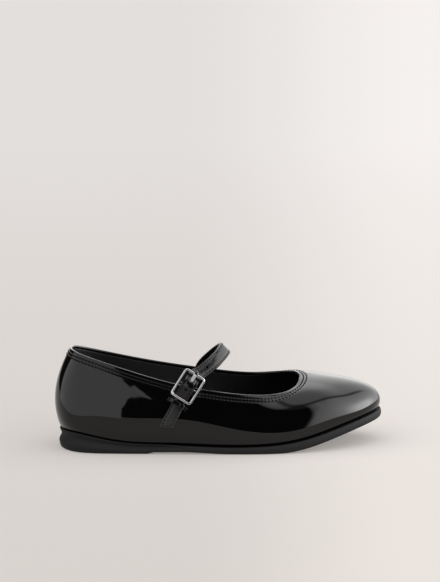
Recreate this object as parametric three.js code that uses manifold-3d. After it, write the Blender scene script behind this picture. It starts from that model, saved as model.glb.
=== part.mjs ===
// A child's mary jane shoe for the right foot: hollow patent upper, moulded rubber sole, insole and one
// buckled strap. Millimetres, +Z up, toe along +X, outer side of the foot towards -Y, standing on its sole.
import * as THREE from 'three';
import { mergeVertices } from 'three/addons/utils/BufferGeometryUtils.js';
import Module from 'manifold-3d';

const wasm = await Module();
wasm.setup();

// ---------------------------------------------------------------- driving dimensions
const GAP = 0.3; // clearance between pieces that meet

const WALL = 1.8; // upper: outer leather, stiffening and lining together
const RIM_CROWN = 0.5; // height of the rounded top edge above the wall
const UPPER = { around: 96, up: 11 }; // faces around the shoe and up its wall

const INSOLE = { thickness: 2.2, edgeGap: 0.45, across: 6 };

// Sole: flat heel and ball on z = 0, a low heel breast, a raised waist and a sprung toe
const SOLE = {
  around: 96, across: 6,
  breastRear: 53, breastFront: 57.5, breastStep: 1.0,
  waistPeak: 74, waistHeight: 1.2,
  ballRear: 104, ballFront: 134,
  springEnd: 207, toeSpring: 14.6,
  heelEnd: 56, foreStart: 84,
};
// Side of the sole from its top lip to the tread: share of the height, distance outside the feather line
const FORE_SIDE = [[1, 0.9], [0.93, 1.5], [0.6, 1.9], [0.32, 1.8], [0.1, 1.1], [0, -0.4]];
const HEEL_SIDE = [[1, 0.0], [0.95, 0.35], [0.7, -0.7], [0.36, 0.8], [0.1, 0.2], [0, -1.4]];

// Shape of the last: one row for each station round the shoe, from the middle of the heel along the
// outer side to the toe and back along the inner side. footX..Z is the feather line where the upper
// meets the sole, topX..Z is the topline. The wall leaves the sole outwards by flare and upwards by
// rise, and comes to the topline from outwards by out and from below by drop.
const COLUMNS = ['footX', 'footY', 'footZ', 'topX', 'topY', 'topZ', 'flare', 'rise', 'out', 'drop'];
const LAST = [
  [0.8, 0.0, 12.8, 7.0, 0.0, 62.4, 6.9, 16, 7.0, 18],
  [6.5, -16.0, 13.0, 10.8, -13.0, 61.2, 6.6, 14.2, 5.4, 19.0],
  [20, -23.4, 10.9, 24.0, -19.4, 57.1, 5.1, 12.9, 3.2, 18.2],
  [40, -26.8, 7.5, 46.0, -22.8, 50.0, 3.9, 14.0, 3.4, 15.0],
  [64, -29.4, 6.4, 70.0, -25.2, 43.2, 3.2, 13.6, 4.6, 11.0],
  [92, -32.4, 5.0, 96.0, -27.0, 38.1, 2.8, 12.5, 5.3, 8.7],
  [120, -35.6, 5.0, 122.0, -26.6, 35.2, 2.7, 11.5, 6.2, 8.0],
  [146, -34.6, 7.4, 139.0, -21.4, 35.7, 3.0, 12.0, 8.7, 4.4],
  [170, -28.6, 13.3, 147.8, -13.2, 38.0, 3.8, 13.4, 16.9, 0.4],
  [191, -17.4, 18.7, 151.2, -6.0, 40.4, 5.5, 12.0, 24.6, 1.1],
  [202.8, 2.0, 20.5, 152.4, 1.0, 42.0, 7.4, 15.5, 30, 0.6],
  [193, 20.2, 18.9, 150.8, 7.6, 43.2, 5.7, 13.0, 24.8, 1.0],
  [172, 30.8, 13.5, 146.8, 14.0, 42.6, 4.0, 13.5, 17, 0.5],
  [148, 34.6, 7.4, 137.5, 19.8, 41.2, 3.2, 13, 8.5, 4],
  [120, 32.5, 5.2, 121.0, 23.2, 40.2, 3.2, 14, 5.0, 9],
  [92, 25.8, 5.2, 96.0, 24.4, 42.8, 3.6, 15, 3.6, 12],
  [64, 22.2, 5.4, 70.0, 23.2, 47.2, 4.0, 15, 3.0, 14],
  [40, 22.8, 7.8, 46.0, 21.6, 52.2, 4.0, 15, 3.2, 15],
  [20, 22.6, 11.4, 24.0, 19.6, 57.6, 5.0, 16, 4.2, 17],
  [6.5, 15.6, 13.0, 10.8, 12.8, 61.4, 6.6, 16, 6.2, 18],
];

// Buckle: a frame with a recessed middle bar. Its lower bar lies on the stack of leather over the
// outer quarter at seatX, seatZ; angle is the strap's slope there, from level.
const BUCKLE = {
  seatX: 73.6, seatZ: 34.2, angle: 57, stack: 4.8,
  length: 19.2, width: 14.8, corner: 2.2, bar: 1.8, thickness: 1.7, bevel: 0.4,
  pinRadius: 0.65, pinDepth: 2.1, postPlace: 5.9,
};
const STRAP = { width: 8.5, thickness: 1.6, steps: 64 };
const TAB = { width: 7.8, thickness: 1.1, steps: 40 };
const PRONG = { width: 2.1, thickness: 1.0, steps: 26 };
const KEEPER = { width: 2.6, thickness: 0.9, place: -12.3, steps: 20 };

// ---------------------------------------------------------------- curves and the last surface
const UP = new THREE.Vector3(0, 0, 1);
const vec = (x, y, z) => new THREE.Vector3(x, y, z);
const lerp = THREE.MathUtils.lerp;

// Smooth closed curve through rows of numbers: a uniform cubic B-spline whose control rows are found
// by repeated correction until the curve passes through every row.
function closedSpline(rows) {
  const n = rows.length;
  let control = rows.map((row) => [...row]);
  for (let pass = 0; pass < 60; pass++) {
    const last = control;
    control = rows.map((row, i) => row.map(
      (value, k) => (6 * value - last[(i + n - 1) % n][k] - last[(i + 1) % n][k]) / 4));
  }
  return (u) => {
    const t = (((u % 1) + 1) % 1) * n;
    const i = Math.floor(t) % n;
    const w = t - Math.floor(t);
    const weights = [
      (1 - w) ** 3, 3 * w ** 3 - 6 * w ** 2 + 4, -3 * w ** 3 + 3 * w ** 2 + 3 * w + 1, w ** 3,
    ];
    const row = {};
    COLUMNS.forEach((name, k) => {
      row[name] = weights.reduce((sum, b, j) => sum + (b * control[(i + n - 1 + j) % n][k]) / 6, 0);
    });
    return row;
  };
}

const station = closedSpline(LAST);
const footPoint = (row) => vec(row.footX, row.footY, row.footZ);
const topPoint = (row) => vec(row.topX, row.topY, row.topZ);

// Level direction pointing out of the closed curve that pick() takes from the stations
function outward(pick, u) {
  const step = pick(station(u + 1e-3)).sub(pick(station(u - 1e-3)));
  return vec(step.y, -step.x, 0).normalize();
}

// Point of the outer face: u runs once round the shoe, v from the feather line 0 to the topline 1
function wallPoint(u, v) {
  const row = station(u);
  const foot = footPoint(row);
  const top = topPoint(row);
  const low = foot.clone().addScaledVector(outward(footPoint, u), row.flare).addScaledVector(UP, row.rise);
  const high = top.clone().addScaledVector(outward(topPoint, u), row.out).addScaledVector(UP, -row.drop);
  return new THREE.CubicBezierCurve3(foot, low, high, top).getPoint(v);
}

function wallNormal(u, v) {
  const step = 1e-3;
  const low = Math.max(v - step, 0);
  const high = Math.min(v + step, 1);
  const along = wallPoint(u + step, v).sub(wallPoint(u - step, v));
  const upwards = wallPoint(u, high).sub(wallPoint(u, low));
  return along.cross(upwards).normalize();
}

const insidePoint = (u, v) => wallPoint(u, v).addScaledVector(wallNormal(u, v), -WALL);

function bisect(low, high, above) {
  for (let pass = 0; pass < 40; pass++) {
    const middle = (low + high) / 2;
    if (above(middle)) high = middle;
    else low = middle;
  }
  return (low + high) / 2;
}

// Where the wall stands at a given x and z, on the outer side (side -1) or the inner side (side +1)
function onWall(x, z, side) {
  const across = (v) => (side < 0
    ? bisect(0.02, 0.48, (u) => wallPoint(u, v).x > x)
    : bisect(0.52, 0.98, (u) => wallPoint(u, v).x < x));
  const v = bisect(0, 1, (height) => wallPoint(across(height), height).z > z);
  const u = across(v);
  return { point: wallPoint(u, v), normal: wallNormal(u, v) };
}

// ---------------------------------------------------------------- mesh helpers
class Faces {
  constructor() {
    this.positions = [];
  }

  triangle(a, b, c) {
    const edge = Math.min(a.distanceTo(b), b.distanceTo(c), c.distanceTo(a));
    if (edge < 1e-3) return;
    for (const p of [a, b, c]) this.positions.push(p.x, p.y, p.z);
  }

  quad(a, b, c, d) {
    this.triangle(a, b, c);
    this.triangle(a, c, d);
  }

  geometry() {
    const geometry = new THREE.BufferGeometry();
    geometry.setAttribute('position', new THREE.Float32BufferAttribute(this.positions, 3));
    const merged = mergeVertices(geometry, 1e-3);
    merged.computeVertexNormals();
    return merged;
  }
}

// Closed skin over a grid of points that joins up with itself both ways round
function ringSkin(grid) {
  const faces = new Faces();
  const rows = grid.length;
  const columns = grid[0].length;
  for (let i = 0; i < rows; i++) {
    for (let j = 0; j < columns; j++) {
      const next = (i + 1) % rows;
      const above = (j + 1) % columns;
      faces.quad(grid[i][j], grid[next][j], grid[next][above], grid[i][above]);
    }
  }
  return faces.geometry();
}

// Solid between a top and a bottom outline: side faces join the rings, and rows from side to side fill
// both ends. shape(point) may settle the height of a bottom point.
function plateSolid(rings, across, shape) {
  const faces = new Faces();
  const n = rings[0].length;
  for (let k = 0; k + 1 < rings.length; k++) {
    for (let i = 0; i < n; i++) {
      const next = (i + 1) % n;
      faces.quad(rings[k + 1][i], rings[k + 1][next], rings[k][next], rings[k][i]);
    }
  }
  const rowAcross = (ring, i, settle) => Array.from({ length: across + 1 }, (_, k) => {
    const share = k / across;
    const point = ring[i].clone().lerp(ring[(n - i) % n], share);
    return share === 0 || share === 1 ? point : settle(point);
  });
  const fill = (ring, settle, upwards) => {
    for (let i = 0; i < n / 2; i++) {
      const rear = rowAcross(ring, i, settle);
      const front = rowAcross(ring, i + 1, settle);
      for (let k = 0; k < across; k++) {
        if (upwards) faces.quad(rear[k], front[k], front[k + 1], rear[k + 1]);
        else faces.quad(rear[k + 1], front[k + 1], front[k], rear[k]);
      }
    }
  };
  fill(rings[0], (point) => point, true);
  fill(rings[rings.length - 1], shape, false);
  return faces.geometry();
}

// Strip of leather or metal swept along a path. stops hold { at, across }: a point of the middle line
// and the direction of the strip's width there. Corners of the section are cut at 45 degrees.
function stripGeometry(stops, width, thickness, steps, corner = 0.3, lengthen = 0) {
  const line = new THREE.CatmullRomCurve3(stops.map((stop) => stop.at), false, 'centripetal');
  const sides = new THREE.CatmullRomCurve3(stops.map((stop) => stop.across), false, 'centripetal');
  const a = width / 2;
  const b = thickness / 2;
  const section = [
    [-a, -b + corner], [-a + corner, -b], [a - corner, -b], [a, -b + corner],
    [a, b - corner], [a - corner, b], [-a + corner, b], [-a, b - corner],
  ];
  const frames = Array.from({ length: steps + 1 }, (_, i) => {
    const t = i / steps;
    const tangent = line.getTangent(t);
    const side = sides.getPoint(t);
    side.addScaledVector(tangent, -side.dot(tangent)).normalize();
    const face = side.clone().cross(tangent).normalize();
    const centre = line.getPoint(t).addScaledVector(tangent, lengthen * (2 * t - 1));
    return section.map(([x, y]) => centre.clone().addScaledVector(side, x).addScaledVector(face, y));
  });
  const faces = new Faces();
  const corners = section.length;
  for (let i = 0; i < steps; i++) {
    for (let j = 0; j < corners; j++) {
      const next = (j + 1) % corners;
      faces.quad(frames[i][j], frames[i + 1][j], frames[i + 1][next], frames[i][next]);
    }
  }
  for (let j = 1; j + 1 < corners; j++) {
    faces.triangle(frames[0][0], frames[0][j], frames[0][j + 1]);
    faces.triangle(frames[steps][0], frames[steps][j + 1], frames[steps][j]);
  }
  return faces.geometry();
}

function toManifold(geometry) {
  const bare = geometry.clone();
  bare.deleteAttribute('normal');
  bare.deleteAttribute('uv');
  const merged = mergeVertices(bare, 1e-4);
  return new wasm.Manifold(new wasm.Mesh({
    numProp: 3,
    vertProperties: new Float32Array(merged.attributes.position.array),
    triVerts: new Uint32Array(merged.index.array),
  }));
}

function fromManifold(solid) {
  const mesh = solid.getMesh();
  const geometry = new THREE.BufferGeometry();
  geometry.setAttribute('position', new THREE.BufferAttribute(mesh.vertProperties, 3));
  geometry.setIndex(new THREE.BufferAttribute(mesh.triVerts, 1));
  geometry.computeVertexNormals();
  return geometry;
}

// ---------------------------------------------------------------- upper, sole and insole
// Upper: up the outer face, over the rounded topline and down the inner face to a flat lower edge
function makeUpper() {
  const grid = Array.from({ length: UPPER.around }, (_, i) => {
    const u = i / UPPER.around;
    const heights = Array.from({ length: UPPER.up + 1 }, (_row, j) => j / UPPER.up);
    const outer = heights.map((v) => wallPoint(u, v));
    const inner = heights.map((v) => insidePoint(u, v)).reverse();
    const crown = outer[UPPER.up].clone().lerp(inner[0], 0.5).addScaledVector(UP, RIM_CROWN);
    const ledge = outer[0].clone().addScaledVector(outward(footPoint, u), -WALL);
    return [...outer, crown, ...inner, ledge];
  });
  return ringSkin(grid);
}

// Height of the tread above the ground
function treadHeight(x) {
  const s = SOLE;
  if (x < s.breastRear) return 0;
  if (x < s.breastFront) return (s.breastStep * (x - s.breastRear)) / (s.breastFront - s.breastRear);
  if (x < s.waistPeak) {
    return lerp(s.breastStep, s.waistHeight,
      THREE.MathUtils.smoothstep(x, s.breastFront, s.waistPeak));
  }
  if (x < s.ballRear) return s.waistHeight * (1 - THREE.MathUtils.smoothstep(x, s.waistPeak, s.ballRear));
  if (x < s.ballFront) return 0;
  return s.toeSpring * THREE.MathUtils.smoothstep(x, s.ballFront, s.springEnd);
}

// Places round the shoe, with a pair of them on each edge of the heel breast and of the flat ball
function soleStations() {
  const half = SOLE.around / 2;
  const along = Array.from({ length: half + 1 }, (_, i) => i / half);
  for (const x of [SOLE.breastRear, SOLE.breastFront, SOLE.ballRear, SOLE.ballFront]) {
    const exact = bisect(0, 1, (t) => station(t / 2).footX > x);
    const nearest = along.reduce((best, t, i) => (
      Math.abs(t - exact) < Math.abs(along[best] - exact) ? i : best), 0);
    along[nearest] = exact;
  }
  const outerSide = along.map((t) => t / 2);
  const innerSide = outerSide.slice(1, -1).map((u) => 1 - u).reverse();
  return [...outerSide, ...innerSide];
}

function makeOutsole() {
  const places = soleStations();
  const rings = FORE_SIDE.map((fore, k) => places.map((u) => {
    const foot = footPoint(station(u));
    const heelness = 1 - THREE.MathUtils.smoothstep(foot.x, SOLE.heelEnd, SOLE.foreStart);
    const share = lerp(fore[0], HEEL_SIDE[k][0], heelness);
    const outset = lerp(fore[1], HEEL_SIDE[k][1], heelness);
    const point = foot.clone().addScaledVector(outward(footPoint, u), outset);
    point.z = lerp(treadHeight(point.x), foot.z - GAP, share);
    return point;
  }));
  return plateSolid(rings, SOLE.across, (point) => point.setZ(treadHeight(point.x)));
}

function makeInsole() {
  const inset = WALL + INSOLE.edgeGap;
  const ring = (height) => Array.from({ length: SOLE.around }, (_, i) => {
    const u = i / SOLE.around;
    return footPoint(station(u))
      .addScaledVector(outward(footPoint, u), -inset)
      .addScaledVector(UP, height);
  });
  return plateSolid([ring(INSOLE.thickness), ring(0)], INSOLE.across, (point) => point);
}

// ---------------------------------------------------------------- strap, tab and buckle
// Axes of the buckle: along runs up the strap, across is its width, face points away from the foot
const seat = onWall(BUCKLE.seatX, BUCKLE.seatZ, -1);
const face = seat.normal.clone();
const level = UP.clone().cross(face).normalize();
const steep = face.clone().cross(level).normalize();
const slope = THREE.MathUtils.degToRad(BUCKLE.angle);
const along = level.clone().multiplyScalar(Math.cos(slope)).addScaledVector(steep, Math.sin(slope));
const across = along.clone().cross(face).normalize();
const halfLength = (BUCKLE.length - BUCKLE.bar) / 2; // from the middle bar to each end bar
const buckleCentre = seat.point.clone()
  .addScaledVector(face, BUCKLE.stack)
  .addScaledVector(along, halfLength);

// Point in the buckle's own axes: s up the strap, b across it, h away from the foot
const atBuckle = (s, h, b = 0) => buckleCentre.clone()
  .addScaledVector(along, s)
  .addScaledVector(face, h)
  .addScaledVector(across, b);
const buckleStop = ([s, h]) => ({ at: atBuckle(s, h), across: across.clone() });

// Stop for a strip that lies along the wall, height above its outer face (negative: below it)
function wallStop(x, z, side, height, width) {
  const { point, normal } = onWall(x, z, side);
  return {
    at: point.addScaledVector(normal, height),
    across: width.clone().addScaledVector(normal, -width.dot(normal)).normalize(),
  };
}

// Strap: its tip lies under the lower bar, it crosses the middle bar, dips under the upper bar, arches
// over the instep leaning forwards and ends inside the inner quarter
function strapStops() {
  const buckled = [[-12.8, -2.2], [-8.8, -2.1], [-4.4, -0.6], [0, 1.15], [2.8, 1.1], [5.8, -0.7],
    [8.8, -2.9]].map(buckleStop);
  const arch = [
    { at: vec(86.8, -23.8, 49.8), across: vec(0.84, -0.3, -0.5) },
    { at: vec(93.6, -18.9, 53.8), across: vec(0.8, -0.36, -0.55) },
    { at: vec(99.8, -10.0, 57.2), across: vec(0.76, -0.2, -0.62) },
    { at: vec(104.6, 0, 60.6), across: vec(0.69, 0.02, -0.72) },
    { at: vec(103.0, 8.2, 58.2), across: vec(0.72, 0.1, -0.68) },
    { at: vec(98.0, 15.0, 52.4), across: vec(0.78, 0.08, -0.6) },
    { at: vec(92.9, 19.4, 46.0), across: vec(0.82, -0.05, -0.56) },
  ];
  const depth = WALL + STRAP.thickness / 2 + 2 * GAP;
  const anchored = [[90.6, 41], [88.6, 36.6], [86.6, 31.5]].map(
    ([x, z]) => wallStop(x, z, 1, -depth, vec(0.9, 0, -0.42)));
  return [...buckled, ...arch, ...anchored];
}

// Tab: folded round the middle bar and laid down the outer quarter to its stitched end
function tabStops() {
  const radius = BUCKLE.pinRadius + GAP + TAB.thickness / 2;
  const pin = -BUCKLE.pinDepth;
  const fold = [100, 55, 0, -55, -100].map((degrees) => {
    const angle = THREE.MathUtils.degToRad(degrees);
    return [radius * Math.cos(angle), pin + radius * Math.sin(angle)];
  });
  const looped = [[-4.4, pin - 0.45], [-2.4, pin + 0.45], ...fold, [-4.2, -3.8], [-8.6, -3.95]];
  const height = TAB.thickness / 2 + 1.6 * GAP;
  const laid = [[70.3, 27.6], [67.3, 22.6], [64.6, 17.6]].map(
    ([x, z]) => wallStop(x, z, -1, height, across));
  return [...looped.map(buckleStop), ...laid];
}

// Prong: curled round the middle bar, then out through the strap and over the upper bar
function prongStops() {
  const radius = BUCKLE.pinRadius + 1.4 * GAP + PRONG.thickness / 2;
  const pin = -BUCKLE.pinDepth;
  const curl = [-60, -110, -160, 150, 110].map((degrees) => {
    const angle = THREE.MathUtils.degToRad(degrees);
    return [radius * Math.cos(angle), pin + radius * Math.sin(angle)];
  });
  const tongue = [[0.6, pin + radius], [3, -0.45], [5.9, 0.6], [8.7, 1.65], [10.6, 1.4]];
  return [...curl, ...tongue].map(buckleStop);
}

function makeProng(extra = 0) {
  const corner = 0.3 + extra / 3;
  return stripGeometry(prongStops(), PRONG.width + 2 * extra, PRONG.thickness + 2 * extra,
    PRONG.steps, corner, extra);
}

function makeStrap() {
  const strip = toManifold(stripGeometry(strapStops(), STRAP.width, STRAP.thickness, STRAP.steps));
  return fromManifold(strip.subtract(toManifold(makeProng(GAP))));
}

function makeTab() {
  const strip = toManifold(stripGeometry(tabStops(), TAB.width, TAB.thickness, TAB.steps));
  return fromManifold(strip.subtract(toManifold(makeProng(GAP))));
}

// Keeper: a narrow band over the strap's tip and the tab, with both feet on the quarter
function makeKeeper() {
  const profile = [[-7.4, -3.85], [-5.9, -3.8], [-5.3, -2.5], [-4.4, -0.8], [0, -0.6],
    [4.4, -0.8], [5.3, -2.5], [5.9, -3.8], [7.4, -3.85]];
  const stops = profile.map(([b, h]) => ({ at: atBuckle(KEEPER.place, h, b), across: along.clone() }));
  return stripGeometry(stops, KEEPER.width, KEEPER.thickness, KEEPER.steps, 0.25);
}

function rod(from, to, radius) {
  const line = to.clone().sub(from);
  const geometry = new THREE.CylinderGeometry(radius, radius, line.length(), 14);
  const turn = new THREE.Quaternion().setFromUnitVectors(vec(0, 1, 0), line.clone().normalize());
  geometry.applyQuaternion(turn);
  geometry.translate((from.x + to.x) / 2, (from.y + to.y) / 2, (from.z + to.z) / 2);
  return geometry;
}

function roundedRectangle(path, width, height, radius) {
  const x = width / 2 - radius;
  const y = height / 2 - radius;
  path.moveTo(x, -y - radius);
  path.absarc(x, -y, radius, -Math.PI / 2, 0, false);
  path.absarc(x, y, radius, 0, Math.PI / 2, false);
  path.absarc(-x, y, radius, Math.PI / 2, Math.PI, false);
  path.absarc(-x, -y, radius, Math.PI, 1.5 * Math.PI, false);
  return path;
}

function makeFrame() {
  const { width, length, corner, bar, bevel, thickness } = BUCKLE;
  const shape = roundedRectangle(
    new THREE.Shape(), width - 2 * bevel, length - 2 * bevel, corner - bevel);
  shape.holes.push(roundedRectangle(
    new THREE.Path(), width - 2 * bar + 2 * bevel, length - 2 * bar + 2 * bevel, corner - bevel));
  const depth = thickness - 2 * bevel;
  const rim = new THREE.ExtrudeGeometry(shape, {
    depth, bevelEnabled: true, bevelThickness: bevel, bevelSize: bevel, bevelSegments: 2,
    curveSegments: 5,
  });
  rim.translate(0, 0, -depth / 2);
  rim.applyMatrix4(new THREE.Matrix4().makeBasis(across, along, face).setPosition(buckleCentre));
  const { pinRadius, pinDepth, postPlace } = BUCKLE;
  const pin = rod(atBuckle(0, -pinDepth, -postPlace), atBuckle(0, -pinDepth, postPlace), pinRadius);
  const posts = [-postPlace, postPlace].map((b) => rod(
    atBuckle(0, -pinDepth - pinRadius, b), atBuckle(0, 0, b), pinRadius * 1.05));
  const parts = [pin, ...posts].map(toManifold);
  return fromManifold(parts.reduce((solid, part) => solid.add(part), toManifold(rim)));
}

// ---------------------------------------------------------------- assembly
const finishes = {
  patent: new THREE.MeshStandardMaterial({ color: 0x0b0b0c, roughness: 0.08, metalness: 0 }),
  leather: new THREE.MeshStandardMaterial({ color: 0x101011, roughness: 0.5, metalness: 0 }),
  rubber: new THREE.MeshStandardMaterial({ color: 0x1c1c1d, roughness: 0.65, metalness: 0 }),
  metal: new THREE.MeshStandardMaterial({ color: 0xc9c9cc, roughness: 0.22, metalness: 1 }),
};

const PIECES = [
  ['outsole', makeOutsole(), finishes.rubber],
  ['upper', makeUpper(), finishes.patent],
  ['insole', makeInsole(), finishes.leather],
  ['strap', makeStrap(), finishes.patent],
  ['buckle_tab', makeTab(), finishes.patent],
  ['keeper_loop', makeKeeper(), finishes.patent],
  ['buckle_frame', makeFrame(), finishes.metal],
  ['buckle_prong', makeProng(), finishes.metal],
];

const shoe = new THREE.Group();
for (const [name, geometry, material] of PIECES) {
  const mesh = new THREE.Mesh(geometry, material);
  mesh.name = name;
  shoe.add(mesh);
}

// Stand the shoe on z = 0 with the middle of its outline over the origin
const outline = new THREE.Box3().setFromObject(shoe);
const middle = outline.getCenter(new THREE.Vector3());
shoe.position.set(-middle.x, -middle.y, -outline.min.z);
shoe.updateMatrixWorld(true);

export default shoe;
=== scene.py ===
"""Looks of a child's mary jane shoe in black patent leather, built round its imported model.

Shapes are worked out in millimetres in the shoemaker's own frame: the back of the sole at x = 0, the
toe along +X, the outer side of the foot towards -Y and the ground at z = 0. The Workbench turns them
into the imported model's metres.
"""

from __future__ import annotations

import logging
import math
from dataclasses import dataclass, field
from enum import Enum
from typing import Any, Callable, Sequence

import bmesh
import bpy
import numpy as np
from mathutils import Matrix, Vector

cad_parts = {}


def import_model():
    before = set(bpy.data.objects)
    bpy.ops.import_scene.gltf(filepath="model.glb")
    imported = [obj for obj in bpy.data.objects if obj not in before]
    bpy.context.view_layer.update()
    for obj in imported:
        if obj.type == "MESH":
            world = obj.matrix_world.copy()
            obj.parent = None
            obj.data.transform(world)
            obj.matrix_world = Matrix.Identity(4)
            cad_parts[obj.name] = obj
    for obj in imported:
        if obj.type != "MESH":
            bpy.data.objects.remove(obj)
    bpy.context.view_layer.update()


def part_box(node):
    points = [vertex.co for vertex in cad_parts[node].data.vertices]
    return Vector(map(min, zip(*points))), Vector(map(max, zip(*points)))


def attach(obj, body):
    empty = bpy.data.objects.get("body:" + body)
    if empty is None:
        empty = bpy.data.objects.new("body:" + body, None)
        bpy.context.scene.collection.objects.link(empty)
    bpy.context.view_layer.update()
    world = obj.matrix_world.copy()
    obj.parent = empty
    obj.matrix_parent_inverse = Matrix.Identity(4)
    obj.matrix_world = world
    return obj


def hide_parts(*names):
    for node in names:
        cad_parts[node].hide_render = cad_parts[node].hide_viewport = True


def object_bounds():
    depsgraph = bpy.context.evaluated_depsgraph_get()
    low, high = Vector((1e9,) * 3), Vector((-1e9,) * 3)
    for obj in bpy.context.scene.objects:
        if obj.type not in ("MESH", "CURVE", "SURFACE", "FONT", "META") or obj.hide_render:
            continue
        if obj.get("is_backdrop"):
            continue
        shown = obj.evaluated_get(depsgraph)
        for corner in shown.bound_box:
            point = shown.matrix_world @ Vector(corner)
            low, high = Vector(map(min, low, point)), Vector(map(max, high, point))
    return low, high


Points = np.ndarray
Surface = Callable[[Points], Points]
Rows = list[tuple[float, float, float]]
MM = 0.001
UP = np.array([0.0, 0.0, 1.0])
THREAD_REACH = 1e-4  # within which corners of a stitch are joined
FACE_SHARE = 0.3  # share of a strip's thickness past which its corners belong to the face that shows
CLOUD_DETAIL, GRAIN_DETAIL, WAVE_DETAIL = 3.0, 2.0, 1.0  # finer patterns that a finish's noises hold
SMOOTH = {"interpolation_type": "SMOOTHSTEP"}
SHARP = 1.0  # angle between two faces, in radians, past which their edge is rounded
log = logging.getLogger("shoe")


class Slot(Enum):
    """Material slots of the record."""

    SOLE = "sole_rubber"
    UPPER = "patent_leather"
    SOCK = "sock_leather"
    STRAP = "strap_leather"
    BUCKLE = "buckle_metal"


# ------------------------------------------------------------------ small geometry helpers
def smoothstep(value: Any, low: float, high: float) -> Any:
    """Gives the smooth share of the way that a value has come from low to high."""
    share = np.clip((np.asarray(value, float) - low) / (high - low), 0.0, 1.0)
    return share * share * (3.0 - 2.0 * share)


def unit(vectors: Points) -> Points:
    """Gives the vectors with a length of one."""
    return vectors / np.linalg.norm(vectors, axis=-1, keepdims=True)


def catmull_rom(stops: Points, places: Points) -> Points:
    """Runs a smooth curve through stops, spaced by the square root of their distances.

    Args:
        stops: Points or directions that the curve passes through, one row each.
        places: Places on the curve, from 0 at the first stop to 1 at the last.

    Returns:
        One row for each place.
    """
    first = 2 * stops[0] - stops[1]
    final = 2 * stops[-1] - stops[-2]
    full = np.vstack([first, stops, final])
    spans = len(stops) - 1
    scaled = np.clip(places, 0, 1) * spans
    index = np.minimum(scaled.astype(int), spans - 1)
    share = (scaled - index)[:, None]
    gaps = np.maximum(np.linalg.norm(np.diff(full, axis=0), axis=1) ** 0.5, 1e-4)[:, None]
    before, start, end, after = (full[index + k] for k in range(4))
    gap0, gap1, gap2 = (gaps[index + k] for k in range(3))
    leave = ((start - before) / gap0 - (end - before) / (gap0 + gap1) + (end - start) / gap1) * gap1
    arrive = ((end - start) / gap1 - (after - start) / (gap1 + gap2) + (after - end) / gap2) * gap1
    square = -3 * start + 3 * end - 2 * leave - arrive
    cube = 2 * start - 2 * end + leave + arrive
    return start + leave * share + square * share**2 + cube * share**3


# ------------------------------------------------------------------ mesh helpers
def grid(columns: int, rows: int) -> bmesh.types.BMesh:
    """Makes a flat grid of squares with corners at whole numbers.

    Args:
        columns: Squares along X.
        rows: Squares along Y.

    Returns:
        The mesh.
    """
    mesh = bmesh.new()
    bmesh.ops.create_grid(mesh, x_segments=columns, y_segments=rows, size=0.5)
    for vert in mesh.verts:
        vert.co = Vector((round((vert.co.x + 0.5) * columns), round((vert.co.y + 0.5) * rows), 0))
    return mesh


def bend(mesh: bmesh.types.BMesh, surface: Surface) -> bmesh.types.BMesh:
    """Carries every corner of a flat mesh onto a surface.

    Args:
        mesh: The flat mesh.
        surface: Gives the place of each flat corner.

    Returns:
        The same mesh.
    """
    flat = np.array([vert.co for vert in mesh.verts], float).reshape(-1, 3)
    for vert, place in zip(mesh.verts, surface(flat)):
        vert.co = Vector(place)
    return mesh


def weld(mesh: bmesh.types.BMesh, reach: float = 0.002) -> bmesh.types.BMesh:
    """Closes the seams of a mesh and turns its faces outwards.

    Args:
        mesh: The mesh.
        reach: Distance within which corners are joined.

    Returns:
        The same mesh.
    """
    bmesh.ops.remove_doubles(mesh, verts=mesh.verts, dist=reach)
    bmesh.ops.dissolve_degenerate(mesh, edges=mesh.edges, dist=reach / 4)
    bmesh.ops.recalc_face_normals(mesh, faces=mesh.faces)
    return mesh


def punch(mesh: bmesh.types.BMesh, centre: tuple[float, float], reach: tuple[float, float]) -> None:
    """Cuts an oval hole in a flat grid.

    Args:
        mesh: The flat grid.
        centre: Middle of the hole.
        reach: Half its length along X and half its width along Y.
    """
    def inside(place: Vector) -> bool:
        """Tells whether a place lies in the rectangle round the hole."""
        return all(abs(place[k] - centre[k]) < reach[k] for k in range(2))

    doomed = [face for face in mesh.faces if inside(face.calc_center_median())]
    rim = {vert for face in doomed for vert in face.verts}
    bmesh.ops.delete(mesh, geom=doomed, context="FACES")
    for vert in rim:
        if not vert.is_valid:
            continue
        way = Vector(((vert.co.x - centre[0]) / reach[0], (vert.co.y - centre[1]) / reach[1]))
        way.normalize()
        vert.co.x = centre[0] + way.x * reach[0]
        vert.co.y = centre[1] + way.y * reach[1]


def thicken(mesh: bmesh.types.BMesh, thickness: float, edge: float, steps: int = 3) -> None:
    """Gives a flat sheet its thickness, about its own height, and rounds its edges.

    Args:
        mesh: The flat sheet.
        thickness: Thickness of the leather or metal.
        edge: Width of the rounding at each edge.
        steps: Faces across each rounding.
    """
    bmesh.ops.recalc_face_normals(mesh, faces=mesh.faces)
    bmesh.ops.solidify(mesh, geom=mesh.faces, thickness=thickness)
    bmesh.ops.recalc_face_normals(mesh, faces=mesh.faces)
    middle = (max(v.co.z for v in mesh.verts) + min(v.co.z for v in mesh.verts)) / 2
    bmesh.ops.translate(mesh, verts=mesh.verts, vec=(0, 0, -middle))
    sharp = [e for e in mesh.edges if len(e.link_faces) == 2 and e.calc_face_angle() > SHARP]
    sharp = [e for e in sharp if abs(e.verts[0].co.z - e.verts[1].co.z) < thickness / 4]
    bmesh.ops.bevel(
        mesh, geom=sharp, offset=edge, offset_type="OFFSET", affect="EDGES", segments=steps,
        profile=0.5, material=-1, clamp_overlap=True,
    )


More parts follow.
